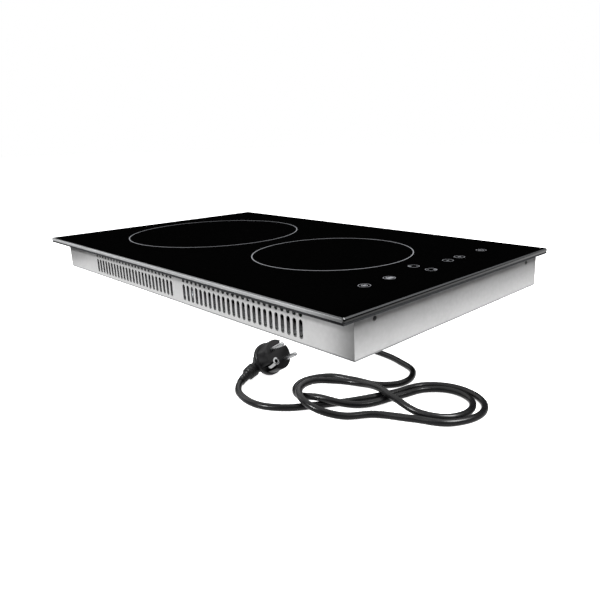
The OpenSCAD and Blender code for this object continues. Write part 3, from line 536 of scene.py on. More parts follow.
def bite(piece: Piece, cutter: Piece, how: str = "DIFFERENCE") -> None:
    """Cut one shape out of a piece, or join it on, and throw the shape away.

    Args:
        piece: The piece to change.
        cutter: The shape.
        how: The kind of boolean.
    """
    modifier = piece.modifiers.new("Bite", "BOOLEAN")
    modifier.object, modifier.operation, modifier.solver = cutter, how, "EXACT"
    applied(piece)
    bpy.data.objects.remove(cutter)


def turned(profile: Sequence[Flat], sides: int, place: Matrix) -> Shell:
    """Turn a profile about the X axis into a closed skin.

    Args:
        profile: Points (x, radius) in millimetres; a radius of 0 closes an end, and a last
            point equal to the first closes a ring.
        sides: Faces round the axis.
        place: Where the skin goes, in metres.

    Returns:
        Points in metres and faces.
    """
    verts: list[Vector] = []
    rings: list[list[int]] = []
    for number, (x, radius) in enumerate(profile):
        if number and (x, radius) == profile[0]:
            rings.append(rings[0])
        elif radius == 0:
            rings.append([len(verts)])
            verts.append(place @ Vector((x * MM, 0, 0)))
        else:
            rings.append(list(range(len(verts), len(verts) + sides)))
            for k in range(sides):
                a = 2 * math.pi * k / sides
                verts.append(place @ (Vector((x, radius * math.cos(a),
                                              radius * math.sin(a))) * MM))
    faces: list[list[int]] = []
    for one, two in zip(rings, rings[1:]):
        for k in range(sides):
            j = (k + 1) % sides
            if len(one) == 1:
                faces.append([one[0], two[k], two[j]])
            elif len(two) == 1:
                faces.append([one[k], two[0], one[j]])
            else:
                faces.append([one[k], two[k], two[j], one[j]])
    return verts, faces


def lofted(loops: Sequence[Sequence[Vector]], closed: bool = False) -> Shell:
    """Join loops of points into a closed skin.

    Args:
        loops: The loops in order, each with as many points as the next.
        closed: Whether the last loop joins the first; otherwise both ends get a face.

    Returns:
        The points and the faces.
    """
    count, n = len(loops), len(loops[0])
    pairs = [(n * i, n * ((i + 1) % count)) for i in range(count if closed else count - 1)]
    faces = [[i + k, i + (k + 1) % n, j + (k + 1) % n, j + k]
             for i, j in pairs for k in range(n)]
    if not closed:
        last = n * (count - 1)
        faces += [list(range(n - 1, -1, -1)), list(range(last, last + n))]
    return [point for loop in loops for point in loop], faces


def joined(shells: Iterable[Shell]) -> Shell:
    """Put several shells together.

    Args:
        shells: The points and faces of each.

    Returns:
        All the points and faces.
    """
    points: list[Vector] = []
    faces: list[list[int]] = []
    for verts, sides in shells:
        faces += [[len(points) + i for i in face] for face in sides]
        points += verts
    return points, faces


def slab(outline: Sequence[Flat], low: float, high: float) -> Shell:
    """Raise a flat outline into a plate between two heights, all of them in millimetres."""
    return lofted([[Vector((x, y, z)) * MM for x, y in outline] for z in (low, high)])


def oblong(left: float, right: float, front: float, back: float) -> list[Flat]:
    """Return the corners of an upright rectangle in plan."""
    return [(left, front), (right, front), (right, back), (left, back)]


def upright(x: float = 0.0, y: float = 0.0, up: bool = True) -> Matrix:
    """Return a place in metres whose own X axis points straight up, or straight down."""
    turn = Matrix.Rotation(math.radians(-90 if up else 90), 4, "Y")
    return Matrix.Translation((x, y, 0)) @ turn


class Grower:
    """A Geometry Nodes tree with named inputs, which grows a piece on its places or path."""

    def __init__(self, name: str, **inputs: str) -> None:
        """Start a tree.

        Args:
            name: The tree's name.
            **inputs: Each input's name and its socket type, without the prefix.
        """
        self.tree = bpy.data.node_groups.new(name, "GeometryNodeTree")
        self.keys: dict[str, str] = {}
        for label, kind in {"Geometry": "Geometry", **inputs, "Material": "Material"}.items():
            socket = self.tree.interface.new_socket(label, in_out="INPUT",
                                                    socket_type="NodeSocket" + kind)
            self.keys[label] = socket.identifier
        self.tree.interface.new_socket("Geometry", in_out="OUTPUT",
                                       socket_type="NodeSocketGeometry")
        self.given = add(self.tree, "NodeGroupInput").outputs

    def node(self, kind: str, sockets: dict, **settings: object) -> bpy.types.NodeOutputs:
        """Add a node and return its outputs."""
        return add(self.tree, kind, sockets, **settings).outputs

    def end(self, shape: Socket) -> "Grower":
        """End the tree in real geometry with a material.

        Args:
            shape: What the tree has made.

        Returns:
            The tree's grower.
        """
        real = self.node("GeometryNodeRealizeInstances", {"Geometry": shape})[0]
        done = self.node("GeometryNodeSetMaterial", {
            "Geometry": real, "Material": self.given["Material"]})[0]
        add(self.tree, "NodeGroupOutput", {0: done})
        return self

    def grow(self, name: str, finish: Finish, points: Sequence[Vector], values: dict,
             body: str = "hob", sharp_deg: float = SHARP_DEG) -> Piece:
        """Grow one piece.

        Args:
            name: The piece's name.
            finish: What it is made of.
            points: Its places, or the points of its path, in metres.
            values: Input names and their values.
            body: The body that it rides on.
            sharp_deg: Edges that turn more than this stay sharp.

        Returns:
            The finished object, a plain mesh at the origin.
        """
        mesh = bpy.data.meshes.new(name)
        mesh.from_pydata([tuple(p) for p in points],
                         [(i, i + 1) for i in range(len(points) - 1)], [])
        piece = shown(name, mesh)
        modifier = piece.modifiers.new("Grow", "NODES")
        modifier.node_group = self.tree
        for label, value in {**values, "Material": finish.material()}.items():
            modifier[self.keys[label]] = value
        applied(piece)
        tidy(piece.data, sharp_deg)
        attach(piece, body)
        LOG.info("%s: %d faces, grown on %s", name, len(piece.data.polygons), body)
        return piece


def coiled_wire() -> Grower:
    """Make the tree of a wire wound into a spiral or a spring at each place.

    Returns:
        The tree's grower.
    """
    g = Grower("Coiled wire", Turns="Float", Start="Float", End="Float", Height="Float",
               Wire="Float", Steps="Int", Sides="Int")
    spiral = g.node("GeometryNodeCurveSpiral", {
        "Resolution": g.given["Steps"], "Rotations": g.given["Turns"],
        "Start Radius": g.given["Start"], "End Radius": g.given["End"],
        "Height": g.given["Height"]})[0]
    section = g.node("GeometryNodeCurvePrimitiveCircle", {
        "Resolution": g.given["Sides"], "Radius": g.given["Wire"]})[0]
    wire = g.node("GeometryNodeCurveToMesh", {
        "Curve": spiral, "Profile Curve": section, "Fill Caps": True})[0]
    return g.end(g.node("GeometryNodeInstanceOnPoints", {
        "Points": g.given["Geometry"], "Instance": wire})[0])


def repeated_piece() -> Grower:
    """Make the tree that repeats a piece at each place, each turned by chance.

    Returns:
        The tree's grower.
    """
    g = Grower("Repeated piece", Piece="Object", Turn="Float", Seed="Int")
    shape = g.node("GeometryNodeObjectInfo", {"Object": g.given["Piece"]})["Geometry"]
    most = g.node("ShaderNodeCombineXYZ", {"Z": g.given["Turn"]})[0]
    chance = g.node("FunctionNodeRandomValue", {
        "Min": (0, 0, 0), "Max": most, "Seed": g.given["Seed"]}, data_type="FLOAT_VECTOR")[0]
    turn = g.node("FunctionNodeEulerToRotation", {"Euler": chance})[0]
    return g.end(g.node("GeometryNodeInstanceOnPoints", {
        "Points": g.given["Geometry"], "Instance": shape, "Rotation": turn})[0])


def ribbed_tube() -> Grower:
    """Make the tree of a tapered tube along a path, with a collar and grooves across it.

    Returns:
        The tree's grower.
    """
    # Shares of the length: where the collar rises, and how far from the middle grooves go.
    collar_from, collar_to, middle, grooved = 0.52, 0.58, 0.5, 0.4
    g = Grower("Ribbed tube", Start="Float", End="Float", Collar="Float", Depth="Float",
               Pitch="Float", Sides="Int")
    path = g.node("GeometryNodeMeshToCurve", {"Mesh": g.given["Geometry"]})[0]
    along = g.node("GeometryNodeSplineParameter", {})
    taper = g.node("ShaderNodeMapRange", {
        "Value": along["Factor"], "To Min": g.given["Start"], "To Max": g.given["End"]})[0]
    collar = g.node("ShaderNodeMapRange", {
        "Value": along["Factor"], "From Min": collar_from, "From Max": collar_to,
        "To Max": g.given["Collar"]}, interpolation_type="SMOOTHSTEP")[0]
    # Each sum has a name, an operation, and values or the names of earlier sums.
    sums: dict[str, Socket] = {}
    for name, operation, *values in (
            ("ribs", "DIVIDE", along["Length"], g.given["Pitch"]),
            ("angle", "MULTIPLY", "ribs", math.tau),
            ("wave", "SINE", "angle"),
            ("dips", "MAXIMUM", "wave", 0.0),
            ("offset", "SUBTRACT", along["Factor"], middle),
            ("distance", "ABSOLUTE", "offset"),
            ("inside", "LESS_THAN", "distance", grooved),
            ("grooves", "MULTIPLY", "dips", "inside"),
            ("cut", "MULTIPLY", "grooves", g.given["Depth"]),
            ("tube", "ADD", taper, collar),
            ("radius", "SUBTRACT", "tube", "cut")):
        inputs = {i: sums[v] if isinstance(v, str) else v for i, v in enumerate(values)}
        sums[name] = g.node("ShaderNodeMath", inputs, operation=operation)[0]
    section = g.node("GeometryNodeCurvePrimitiveCircle", {
        "Resolution": g.given["Sides"], "Radius": 1.0})[0]
    return g.end(g.node("GeometryNodeCurveToMesh", {
        "Curve": path, "Profile Curve": section, "Scale": sums["radius"],
        "Fill Caps": True})[0])


def scattered(name: str, finish: Finish, first: Piece, places: Sequence[Vector],
              turn: float = 0.0, seed: int = 0, sharp_deg: float = SHARP_DEG) -> Piece:
    """Repeat a piece at each place, and throw the first one away.

    Args:
        name: The name of what is made.
        finish: What it is made of.
        first: The piece to repeat, at the origin.
        places: Where it goes, in metres.
        turn: The most that chance turns it about Z, in radians.
        seed: The seed of that chance.
        sharp_deg: Edges that turn more than this stay sharp.

    Returns:
        All of them as one piece.
    """
    made = repeated_piece().grow(name, finish, places,
                                 {"Piece": first, "Turn": turn, "Seed": seed},
                                 sharp_deg=sharp_deg)
    bpy.data.objects.remove(first)
    return made


def dress(finish: Finish, *nodes: str) -> None:
    """Give carried-over solids their finish.

    Args:
        finish: What they are made of.
        *nodes: The solids' names.
    """
    for node in nodes:
        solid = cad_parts[node]
        solid.data.materials.clear()
        solid.data.materials.append(finish.material())
        LOG.info("%s: %s", node, finish.name)


# ---- Sub-assemblies ----


@dataclass(frozen=True)
class Arc:
    """A ring, or an arc of one, drawn as a thin film round a point in millimetres."""

    x: float
    y: float
    radius: float
    line: float
    sides: int = 20
    start: float = 0.0
    stop: float = 360.0

    def drawn(self, place: Flat, low: float, high: float) -> Shell:
        """Draw it.

        Args:
            place: The point in plan that its own middle is measured from, in millimetres.
            low: Underside of the film, in millimetres.
            high: Top of the film, in millimetres.

        Returns:
            Points in metres and faces.
        """
        whole = self.stop - self.start >= 360
        inner, outer = self.radius - self.line / 2, self.radius + self.line / 2
        loops = []
        for k in range(self.sides if whole else self.sides + 1):
            a = math.radians(self.start + (self.stop - self.start) * k / self.sides)
            loops.append([Vector((place[0] + self.x + r * math.cos(a),
                                  place[1] + self.y + r * math.sin(a), z)) * MM
                          for r, z in oblong(inner, outer, low, high)])
        return lofted(loops, closed=whole)


@dataclass(frozen=True)
class Bar:
    """A straight bar drawn as a thin film, its middle at a point in millimetres."""

    x: float
    y: float
    wide: float
    long: float

    def drawn(self, place: Flat, low: float, high: float) -> Shell:
        """Draw it, from what an arc is drawn from."""
        x, y, w, l = place[0] + self.x, place[1] + self.y, self.wide / 2, self.long / 2
        return slab(oblong(x - w, x + w, y - l, y + l), low, high)


class Symbol(Enum):
    """The touch symbols, each with its place on the glass in millimetres and its marks."""

    POWER = ((-78.8, -208.7), (Arc(0, 0, 2.4, 0.7, 24, 125, 415), Arc(0, 0, 0.75, 1.3, 16),
                               Bar(0, 2.4, 0.8, 2.4)))
    LOCK = ((-47.4, -208.2), (Arc(0, 1.4, 1.7, 0.7, 16, 0, 180), Bar(0, -0.8, 6.8, 4.4)))
    REAR_ZONE = ((-0.3, -197.6), (Arc(-2.3, 2.4, 0.9, 0.9), Arc(2.1, -2.1, 0.7, 0.35)))
    FRONT_ZONE = ((-1.6, -217.8), (Arc(2.3, -2.4, 0.9, 0.9), Arc(-2.1, 2.1, 0.7, 0.35)))
    LESS = ((38.7, -208.1), (Bar(0, 0, 4.4, 0.8),))
    MORE = ((58.7, -207.8), (Bar(0, 0, 4.4, 0.8), Bar(0, -1.35, 0.8, 1.8),
                             Bar(0, 1.35, 0.8, 1.8)))
    TIMER = ((100.0, -207.0), (Arc(0, 0, 2.5, 0.8, 24), Bar(0, 0.7, 0.7, 1.5)))

    def __init__(self, place: Flat, marks: tuple) -> None:
        """Take the place and the marks apart."""
        self.place, self.marks = place, marks


@dataclass
class GlassPlate:
    """The glass with its ground edge, its seal and everything printed on it."""

    corner_mm: float = 2.0
    least_corner_mm: float = 0.4
    corner_steps: int = 6
    bevel_mm: float = 1.0
    print_mm: float = 0.03
    sunk_mm: float = 0.01
    rings: tuple[Arc, ...] = (Arc(0, 119.5, 102.9, 1.1, 160), Arc(0, -93.5, 82.2, 1.1, 160))
    key_outline: Arc = Arc(0, 0, 5.1, 0.5, 40)
    painted_light_facing: float = 0.9
    painted_sheen_facing: Flat = (0.3, 0.98)

    def build(self) -> None:
        """Build the plate, then its prints, then dress what holds it."""
        self.plate()
        self.prints()
        dress(FOAM, "rim_seal")
        dress(SILICONE, "glass_bond")

    def outline(self, inset: float) -> list[Flat]:
        """Return the plate's outline, drawn in by an inset.

        Args:
            inset: How far it is drawn in, in millimetres.

        Returns:
            Its points in plan, in millimetres.
        """
        low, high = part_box("glass_top")
        half_x = (high.x - low.x) / MM / 2 - inset
        half_y = (high.y - low.y) / MM / 2 - inset
        r = max(self.least_corner_mm, self.corner_mm - inset)
        points = []
        for side_x, side_y, first in ((1, 1, 0), (-1, 1, 90), (-1, -1, 180), (1, -1, 270)):
            for k in range(self.corner_steps + 1):
                a = math.radians(first + 90 * k / self.corner_steps)
                points.append((side_x * (half_x - r) + r * math.cos(a),
                               side_y * (half_y - r) + r * math.sin(a)))
        return points

    def plate(self) -> None:
        """Build the glass: a flat top, a bevel, an upright edge and a rounded arris below."""
        low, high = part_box("glass_top")
        bottom, top = low.z / MM, high.z / MM - self.print_mm
        # Inset and height of each loop, from the underside up to the face.
        loops = [(1.3, bottom), (0.3, bottom + 0.5), (0.0, bottom + 1.2),
                 (0.0, top - self.bevel_mm), (0.12, top - 0.75 * self.bevel_mm),
                 (self.bevel_mm - 0.12, top - 0.1), (self.bevel_mm, top)]
        shell = lofted([[Vector((x, y, z)) * MM for x, y in self.outline(inset)]
                        for inset, z in loops])
        plate = make("glass_plate", *shell, GLASS, sharp_deg=25)
        for finish in (GLASS_FACET_PAINTED_SHEEN, GLASS_SIDE_PAINTED_LIGHT):
            plate.data.materials.append(finish.material())
        facet, side = 1, 2
        for face in plate.data.polygons:
            # Side faces: painted light, light grey where the lamp falls on the edge.
            if abs(face.normal.x) > self.painted_light_facing:
                face.material_index = side
            # Bevel faces: painted sheen, dark grey where the black glass catches the light.
            elif self.painted_sheen_facing[0] < face.normal.z < self.painted_sheen_facing[1]:
                face.material_index = facet
        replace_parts(plate, "glass_top")

    def prints(self) -> None:
        """Print the two zone rings, the touch symbols and the outlines round them."""
        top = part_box("glass_top")[1].z / MM
        low = top - self.print_mm - self.sunk_mm
        shells = [ring.drawn((0, 0), low, top) for ring in self.rings]
        shells += [mark.drawn(symbol.place, low, top)
                   for symbol in Symbol for mark in symbol.marks]
        make("glass_prints", *joined(shells), INK)
        outline = make("key_outline", *self.key_outline.drawn((0, 0), low - top, 0), INK)
        places = [Vector((*symbol.place, top)) * MM for symbol in Symbol]
        outlines = scattered("key_outlines", INK, outline, places)


@dataclass
class Tray:
    """The steel tray with everything that bolts to it."""

    head_r: float = 2.8
    head_h: float = 1.6
    shank_r: float = 1.45
    shank_l: float = 6.0
    tip_l: float = 0.4
    recess_long: float = 1.68
    recess_wide: float = 0.35
    recess_floor: float = 0.72
    side_x: float = 128.5
    side_ys: tuple[float, ...] = (-200.0, -70.0, 60.0, 190.0)
    end_x: float = 60.0
    end_ys: tuple[float, ...] = (-243.5, 233.5)
    clamp_at: tuple[Flat, ...] = ((85.5, 144.0), (104.5, 144.0))
    earth_at: Flat = (112.0, 108.0)
    blower_at: tuple[Flat, ...] = ((-48.1, 190.9), (-99.9, 190.9), (-46.0, 141.5))

    def build(self) -> None:
        """Dress the sheets and their fasteners, and put in the screws."""
        dress(SHEET, "side_frame")
        dress(BASE_SHEET, "base_plate")
        dress(ZINC, "bracket_nuts", "pillars", "inner_screws")
        dress(PLATE_ALUMINIUM, "coil_plate")
        self.screws()

    def places(self) -> list[Flat]:
        """Return the places of the screws of the base, the clamp, the earth and the blower.

        Returns:
            Points in plan, in millimetres.
        """
        sides = [(s * self.side_x, y) for s in (-1, 1) for y in self.side_ys]
        ends = [(s * self.end_x, y) for s in (-1, 1) for y in self.end_ys]
        return sides + ends + [*self.clamp_at, self.earth_at, *self.blower_at]

    def screws(self) -> None:
        """Repeat one pan-head screw with a cross recess at each hole of the base."""
        r, h = self.head_r, self.head_h
        # The shank from its tip up, then the head's dome as shares of its height and radius.
        profile = [(-self.shank_l, 0), (-self.shank_l, self.shank_r - 0.3),
                   (self.tip_l - self.shank_l, self.shank_r), (0, self.shank_r),
                   (0, r - 0.1), (0.1, r), (0.55 * h, r - 0.05), (0.8 * h, 0.86 * r),
                   (0.95 * h, 0.6 * r), (h, 0.3 * r), (h, 0)]
        screw = make("screw", *turned(profile, 32, upright(up=False)), ZINC, sharp_deg=30)
        for x, y in ((self.recess_long, self.recess_wide),
                     (self.recess_wide, self.recess_long)):
            bite(screw, make("recess", *slab(oblong(-x, x, -y, y), -h - 0.5,
                                             -self.recess_floor), ZINC))
        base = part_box("base_plate")[0].z
        places = [Vector((x * MM, y * MM, base)) for x, y in self.places()]
        screws = scattered("base_screw_set", ZINC, screw, places, turn=math.pi,
                           seed=7, sharp_deg=30)
        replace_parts(screws, "base_screws")


@dataclass
class CoilSet:
    """One cooking zone: carrier, winding, ferrites, pad, sensor, springs and leads."""

    side: str
    turns: int
    peg_mm: float
    lead_slope: int
    lead_mm: float = 3.2
    lead_edge_mm: float = 0.2
    bore_mm: float = 16.0
    litz_steps: int = 64
    litz_sides: int = 12
    wire_mm: float = 0.8
    spring_turns: float = 4.0
    spring_steps: int = 32
    spring_sides: int = 8
    springs_round: int = 4
    travel_mm: float = 1.5

    def build(self) -> None:
        """Wind the coil and its springs, set its leads, and dress the rest."""
        for finish, part in ((CARRIER, "coil_carrier"), (FERRITE, "ferrites"), (FELT, "pad"),
                             (ALUMINA, "sensor")):
            dress(finish, f"{self.side}_{part}")
        low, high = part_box(f"{self.side}_coil_winding")
        middle = (low + high) / 2
        litz = (high.z - low.z) / 2
        coil = coiled_wire().grow(
            f"{self.side}_litz", COPPER, [middle],
            {"Turns": float(self.turns), "Start": self.bore_mm * MM + litz,
             "End": (high.x - low.x) / 2 - litz, "Height": 0.0, "Wire": litz,
             "Steps": self.litz_steps, "Sides": self.litz_sides},
            body=f"{self.side}_coil")
        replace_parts(coil, f"{self.side}_coil_winding")
        self.springs(middle)
        self.leads(middle)

    def springs(self, middle: Vector) -> None:
        """Wind the springs under the carrier.

        Args:
            middle: A point on the coil's axis, in metres.
        """
        low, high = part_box(f"{self.side}_springs")
        wire, reach = self.wire_mm / 2 * MM, self.peg_mm * MM
        radius = (high.x - low.x) / 2 - reach - wire
        angles = [math.tau * k / self.springs_round for k in range(self.springs_round)]
        places = [Vector((middle.x + reach * math.cos(a), middle.y + reach * math.sin(a),
                          low.z + wire)) for a in angles]
        springs = coiled_wire().grow(
            f"{self.side}_spring_set", SPRING, places,
            {"Turns": self.spring_turns, "Start": radius, "End": radius,
             "Height": high.z - low.z - 2 * wire, "Wire": wire,
             "Steps": self.spring_steps, "Sides": self.spring_sides})
        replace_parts(springs, f"{self.side}_springs")
        self.give(springs)

    def leads(self, middle: Vector) -> None:
        """Set the two sleeved leads between board and coil.

        Args:
            middle: A point on the coil's axis, in metres.
        """
        low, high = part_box(f"{self.side}_leads")
        r, edge, height = self.lead_mm / 2, self.lead_edge_mm, (high.z - low.z) / MM
        profile = [(0, 0), (0, r - edge), (edge, r), (height - edge, r), (height, r - edge),
                   (height, 0)]
        lead = make("lead", *turned(profile, 24, upright()), SLEEVE)
        near, far = low.y + r * MM, high.y - r * MM
        if self.lead_slope < 0:
            near, far = far, near
        places = [Vector((low.x + r * MM, near, low.z)), Vector((high.x - r * MM, far, low.z))]
        leads = scattered(f"{self.side}_lead_pair", SLEEVE, lead, places)
        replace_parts(leads, f"{self.side}_leads")
        self.give(leads)

    def give(self, piece: Piece) -> None:
        """Give a piece under the coil its own copy of its mesh.

        Args:
            piece: The springs or the leads.
        """
        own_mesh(piece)


@dataclass
class Electronics:
    """The power board, the touch board and their parts."""

    spring_r: float = 4.0
    wire_r: float = 0.3
    spring_turns: float = 7.0
    spring_steps: int = 28
    spring_sides: int = 6
    keys: tuple[Flat, ...] = (
        (-79.0, -208.0), (-47.0, -208.0), (-1.0, -198.0), (-1.0, -218.0), (39.0, -208.0),
        (59.0, -208.0), (100.0, -208.0))
    finishes: dict[str, Finish] = field(default_factory=lambda: {
        "insulation_sheet": FILM, "power_board": BOARD, "control_board": BOARD,
        "board_posts": NYLON, "heatsink": HEATSINK, "power_transistors": EPOXY,
        "bridge_rectifiers": EPOXY, "film_capacitors": CAPACITOR, "choke_core": FERRITE,
        "choke_winding": COPPER, "relay": RELAY, "fuse": FUSE, "board_transformer": TAPE,
        "electrolytic_capacitors": SHRINK, "board_connectors": NYLON,
        "coil_terminals": BRASS, "terminal_block": NYLON, "core_wires": SLEEVE,
        "control_carrier": NYLON, "display_module": SMOKED,
        "ribbon_cable": RIBBON})

    def build(self) -> None:
        """Dress every part, and wind the springs under the touch keys."""
        for node, finish in self.finishes.items():
            dress(finish, node)
        low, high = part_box("touch_springs")
        wire = self.wire_r * MM
        radius = self.spring_r * MM - wire
        springs = coiled_wire().grow(
            "touch_spring_set", SPRING,
            [Vector((x * MM, y * MM, low.z + wire)) for x, y in self.keys],
            {"Turns": self.spring_turns, "Start": radius, "End": radius,
             "Height": high.z - low.z - 2 * wire, "Wire": wire,
             "Steps": self.spring_steps, "Sides": self.spring_sides})
        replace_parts(springs, "touch_springs")


@dataclass
class Blower:
    """The cooling fan."""

    def build(self) -> None:
        """Dress the housing, the wheel, the motor and its bearings."""
        dress(FAN, "fan_housing", "fan_cover", "fan_rotor")
        dress(SHAFT, "fan_shaft")
        dress(COPPER, "fan_stator")
        dress(BRONZE, "fan_bearings")


@dataclass
class MainsLead:
    """The free mains lead, from the strain relief under the tray to the plug.

    Its length is in metres and every other size in millimetres. Heights on the route are
    above the height at which the lead rests on the surface.
    """

    cable_mm: float = 7.0
    length: float = 1.541
    rest: float = -131.5
    samples: int = 10
    cap_r: float = 9.0
    neck_r: float = 6.0
    shoulder_r: float = 7.0
    skirt_r: float = 6.9
    tip_r: float = 4.6
    skirt_mm: float = 6.0
    rib_mm: float = 3.2
    tip_mm: float = 1.5
    route: list[tuple[float, float, float]] = field(default_factory=lambda: [
        (95, 160, 70.5), (95, 160, 51.5), (95, 158, 32.5), (95, 146, 13.5), (95, 126, 2.2),
        (94, 104, 0.4), (92, 60, 0.1), (82, -60, 0), (75, -119, 0), (59, -152, 0),
        (31, -159, 0), (12, -144, 0), (4, -115, 0), (-8, -87, 0), (-37, -77, 0.4),
        (-61, -98, 1.8), (-60, -128, 7.5), (-41, -157, 2), (8, -177, 0.2), (36, -188, 0),
        (50, -215, 0), (36, -242, 0), (6, -243, 0.3), (-13, -217, 2), (-13, -184, 7.5),
        (-5, -155, 7), (-3, -129, 2.5), (-16, -105, 3), (-45, -99, 9.8), (-72, -114, 11.6),
        (-78, -139, 8), (-65, -163, 2), (-40, -183, 0.3), (-24, -213, 0), (-5, -246.9, 0),
        (36, -254.9, 0), (58, -219, 0), (42, -181, 0), (6, -167, 0), (-62, -128, 0),
        (-87, -107, 0), (-99, -84, 0), (-99, -60, 0.1), (-92, -41, 0.3), (-80, -29, 1.3)])

    def points(self) -> list[Vector]:
        """Return the route's points in metres."""
        return [Vector((x, y, self.rest + h)) * MM for x, y, h in self.route]

    def directions(self) -> list[Vector]:
        """Return the lead's direction at each point, that of a circle through its neighbours.

        Returns:
            Unit vectors.
        """
        p = self.points()
        out = [Vector((0, 0, -1))]
        for before, here, after in zip(p, p[1:], p[2:]):
            one, two = here - before, after - here
            out.append((one / one.length_squared + two / two.length_squared).normalized())
        chord = (p[-1] - p[-2]).normalized()
        out.append(2 * chord * chord.dot(out[-1]) - out[-1])
        return out

    def line(self) -> list[Vector]:
        """Return the centreline as closely spaced points, none of them below the surface.

        Returns:
            Points in metres.
        """
        p, t = self.points(), self.directions()
        out = []
        for a, b, u, v in zip(p, p[1:], t, t[1:]):
            out += [spline(a, b, u, v, k / self.samples) for k in range(self.samples)]
        return [Vector((q.x, q.y, max(q.z, self.rest * MM))) for q in out + [p[-1]]]

    def build(self) -> None:
        """Build the lead, the relief under the tray, the tail inside it and the plug."""
        line = self.line()
        radius = self.cable_mm / 2 * MM
        lead = ribbed_tube().grow("mains_lead", CORD_RUBBER, line, {
            "Start": radius, "End": radius, "Collar": 0.0, "Depth": 0.0, "Pitch": 1.0,
            "Sides": 20}, sharp_deg=60)
        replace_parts(lead, "power_cord")
        self.entry_relief()
        dress(CORD_RUBBER, "cable_tail")
        dress(NYLON, "cord_clamp")
        plug = Plug(self.points()[-1], self.directions()[-1])
        pieces = plug.build()

    def entry_relief(self) -> None:
        """Build the ribbed strain relief that carries the lead out of the base plate."""
        low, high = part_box("cord_bushing")
        top, bottom, cap, neck = high.z / MM, low.z / MM, self.cap_r, self.neck_r
        start = top - self.skirt_mm
        # The cap inside the tray, the neck in the sheet, and the shoulder under it.
        profile = [(top, 0.0), (top, cap - 0.4), (top - 0.4, cap), (top - 1.8, cap),
                   (top - 2.0, cap - 0.2), (top - 2.0, neck), (top - 3.2, neck),
                   (top - 3.2, self.shoulder_r), (start, self.skirt_r)]
        # The skirt tapers towards its plain tip, with a groove between one rib and the next.
        z = start
        while z - self.rib_mm > bottom + self.tip_mm:
            r = self.tip_r + (self.skirt_r - self.tip_r) * (z - bottom) / (start - bottom)
            profile += [(z, r), (z - 0.3, r - 0.9), (z - 1.2, r - 1.0), (z - 1.5, r - 0.1)]
            z -= self.rib_mm
        profile += [(bottom + 0.3, self.tip_r), (bottom, self.tip_r - 0.3), (bottom, 0.0)]
        place = upright((low.x + high.x) / 2, (low.y + high.y) / 2)
        relief = make("entry_relief", *turned(profile, 48, place), PLUG_RUBBER, sharp_deg=35)
        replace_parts(relief, "cord_bushing")


def spline(a: Vector, b: Vector, u: Vector, v: Vector, t: float, pull: float = 0.36) -> Vector:
    """Return a point on a cubic curve.

    Args:
        a: Its start.
        b: Its end.
        u: Its direction at the start.
        v: Its direction at the end.
        t: How far along the point is, from 0 to 1.
        pull: The length of its handles as a share of the span.

    Returns:
        The point.
    """
    h = pull * (b - a).length
    c, d = a + h * u, b - h * v
    s = 1 - t
    return s ** 3 * a + 3 * s * s * t * c + 3 * s * t * t * d + t ** 3 * b


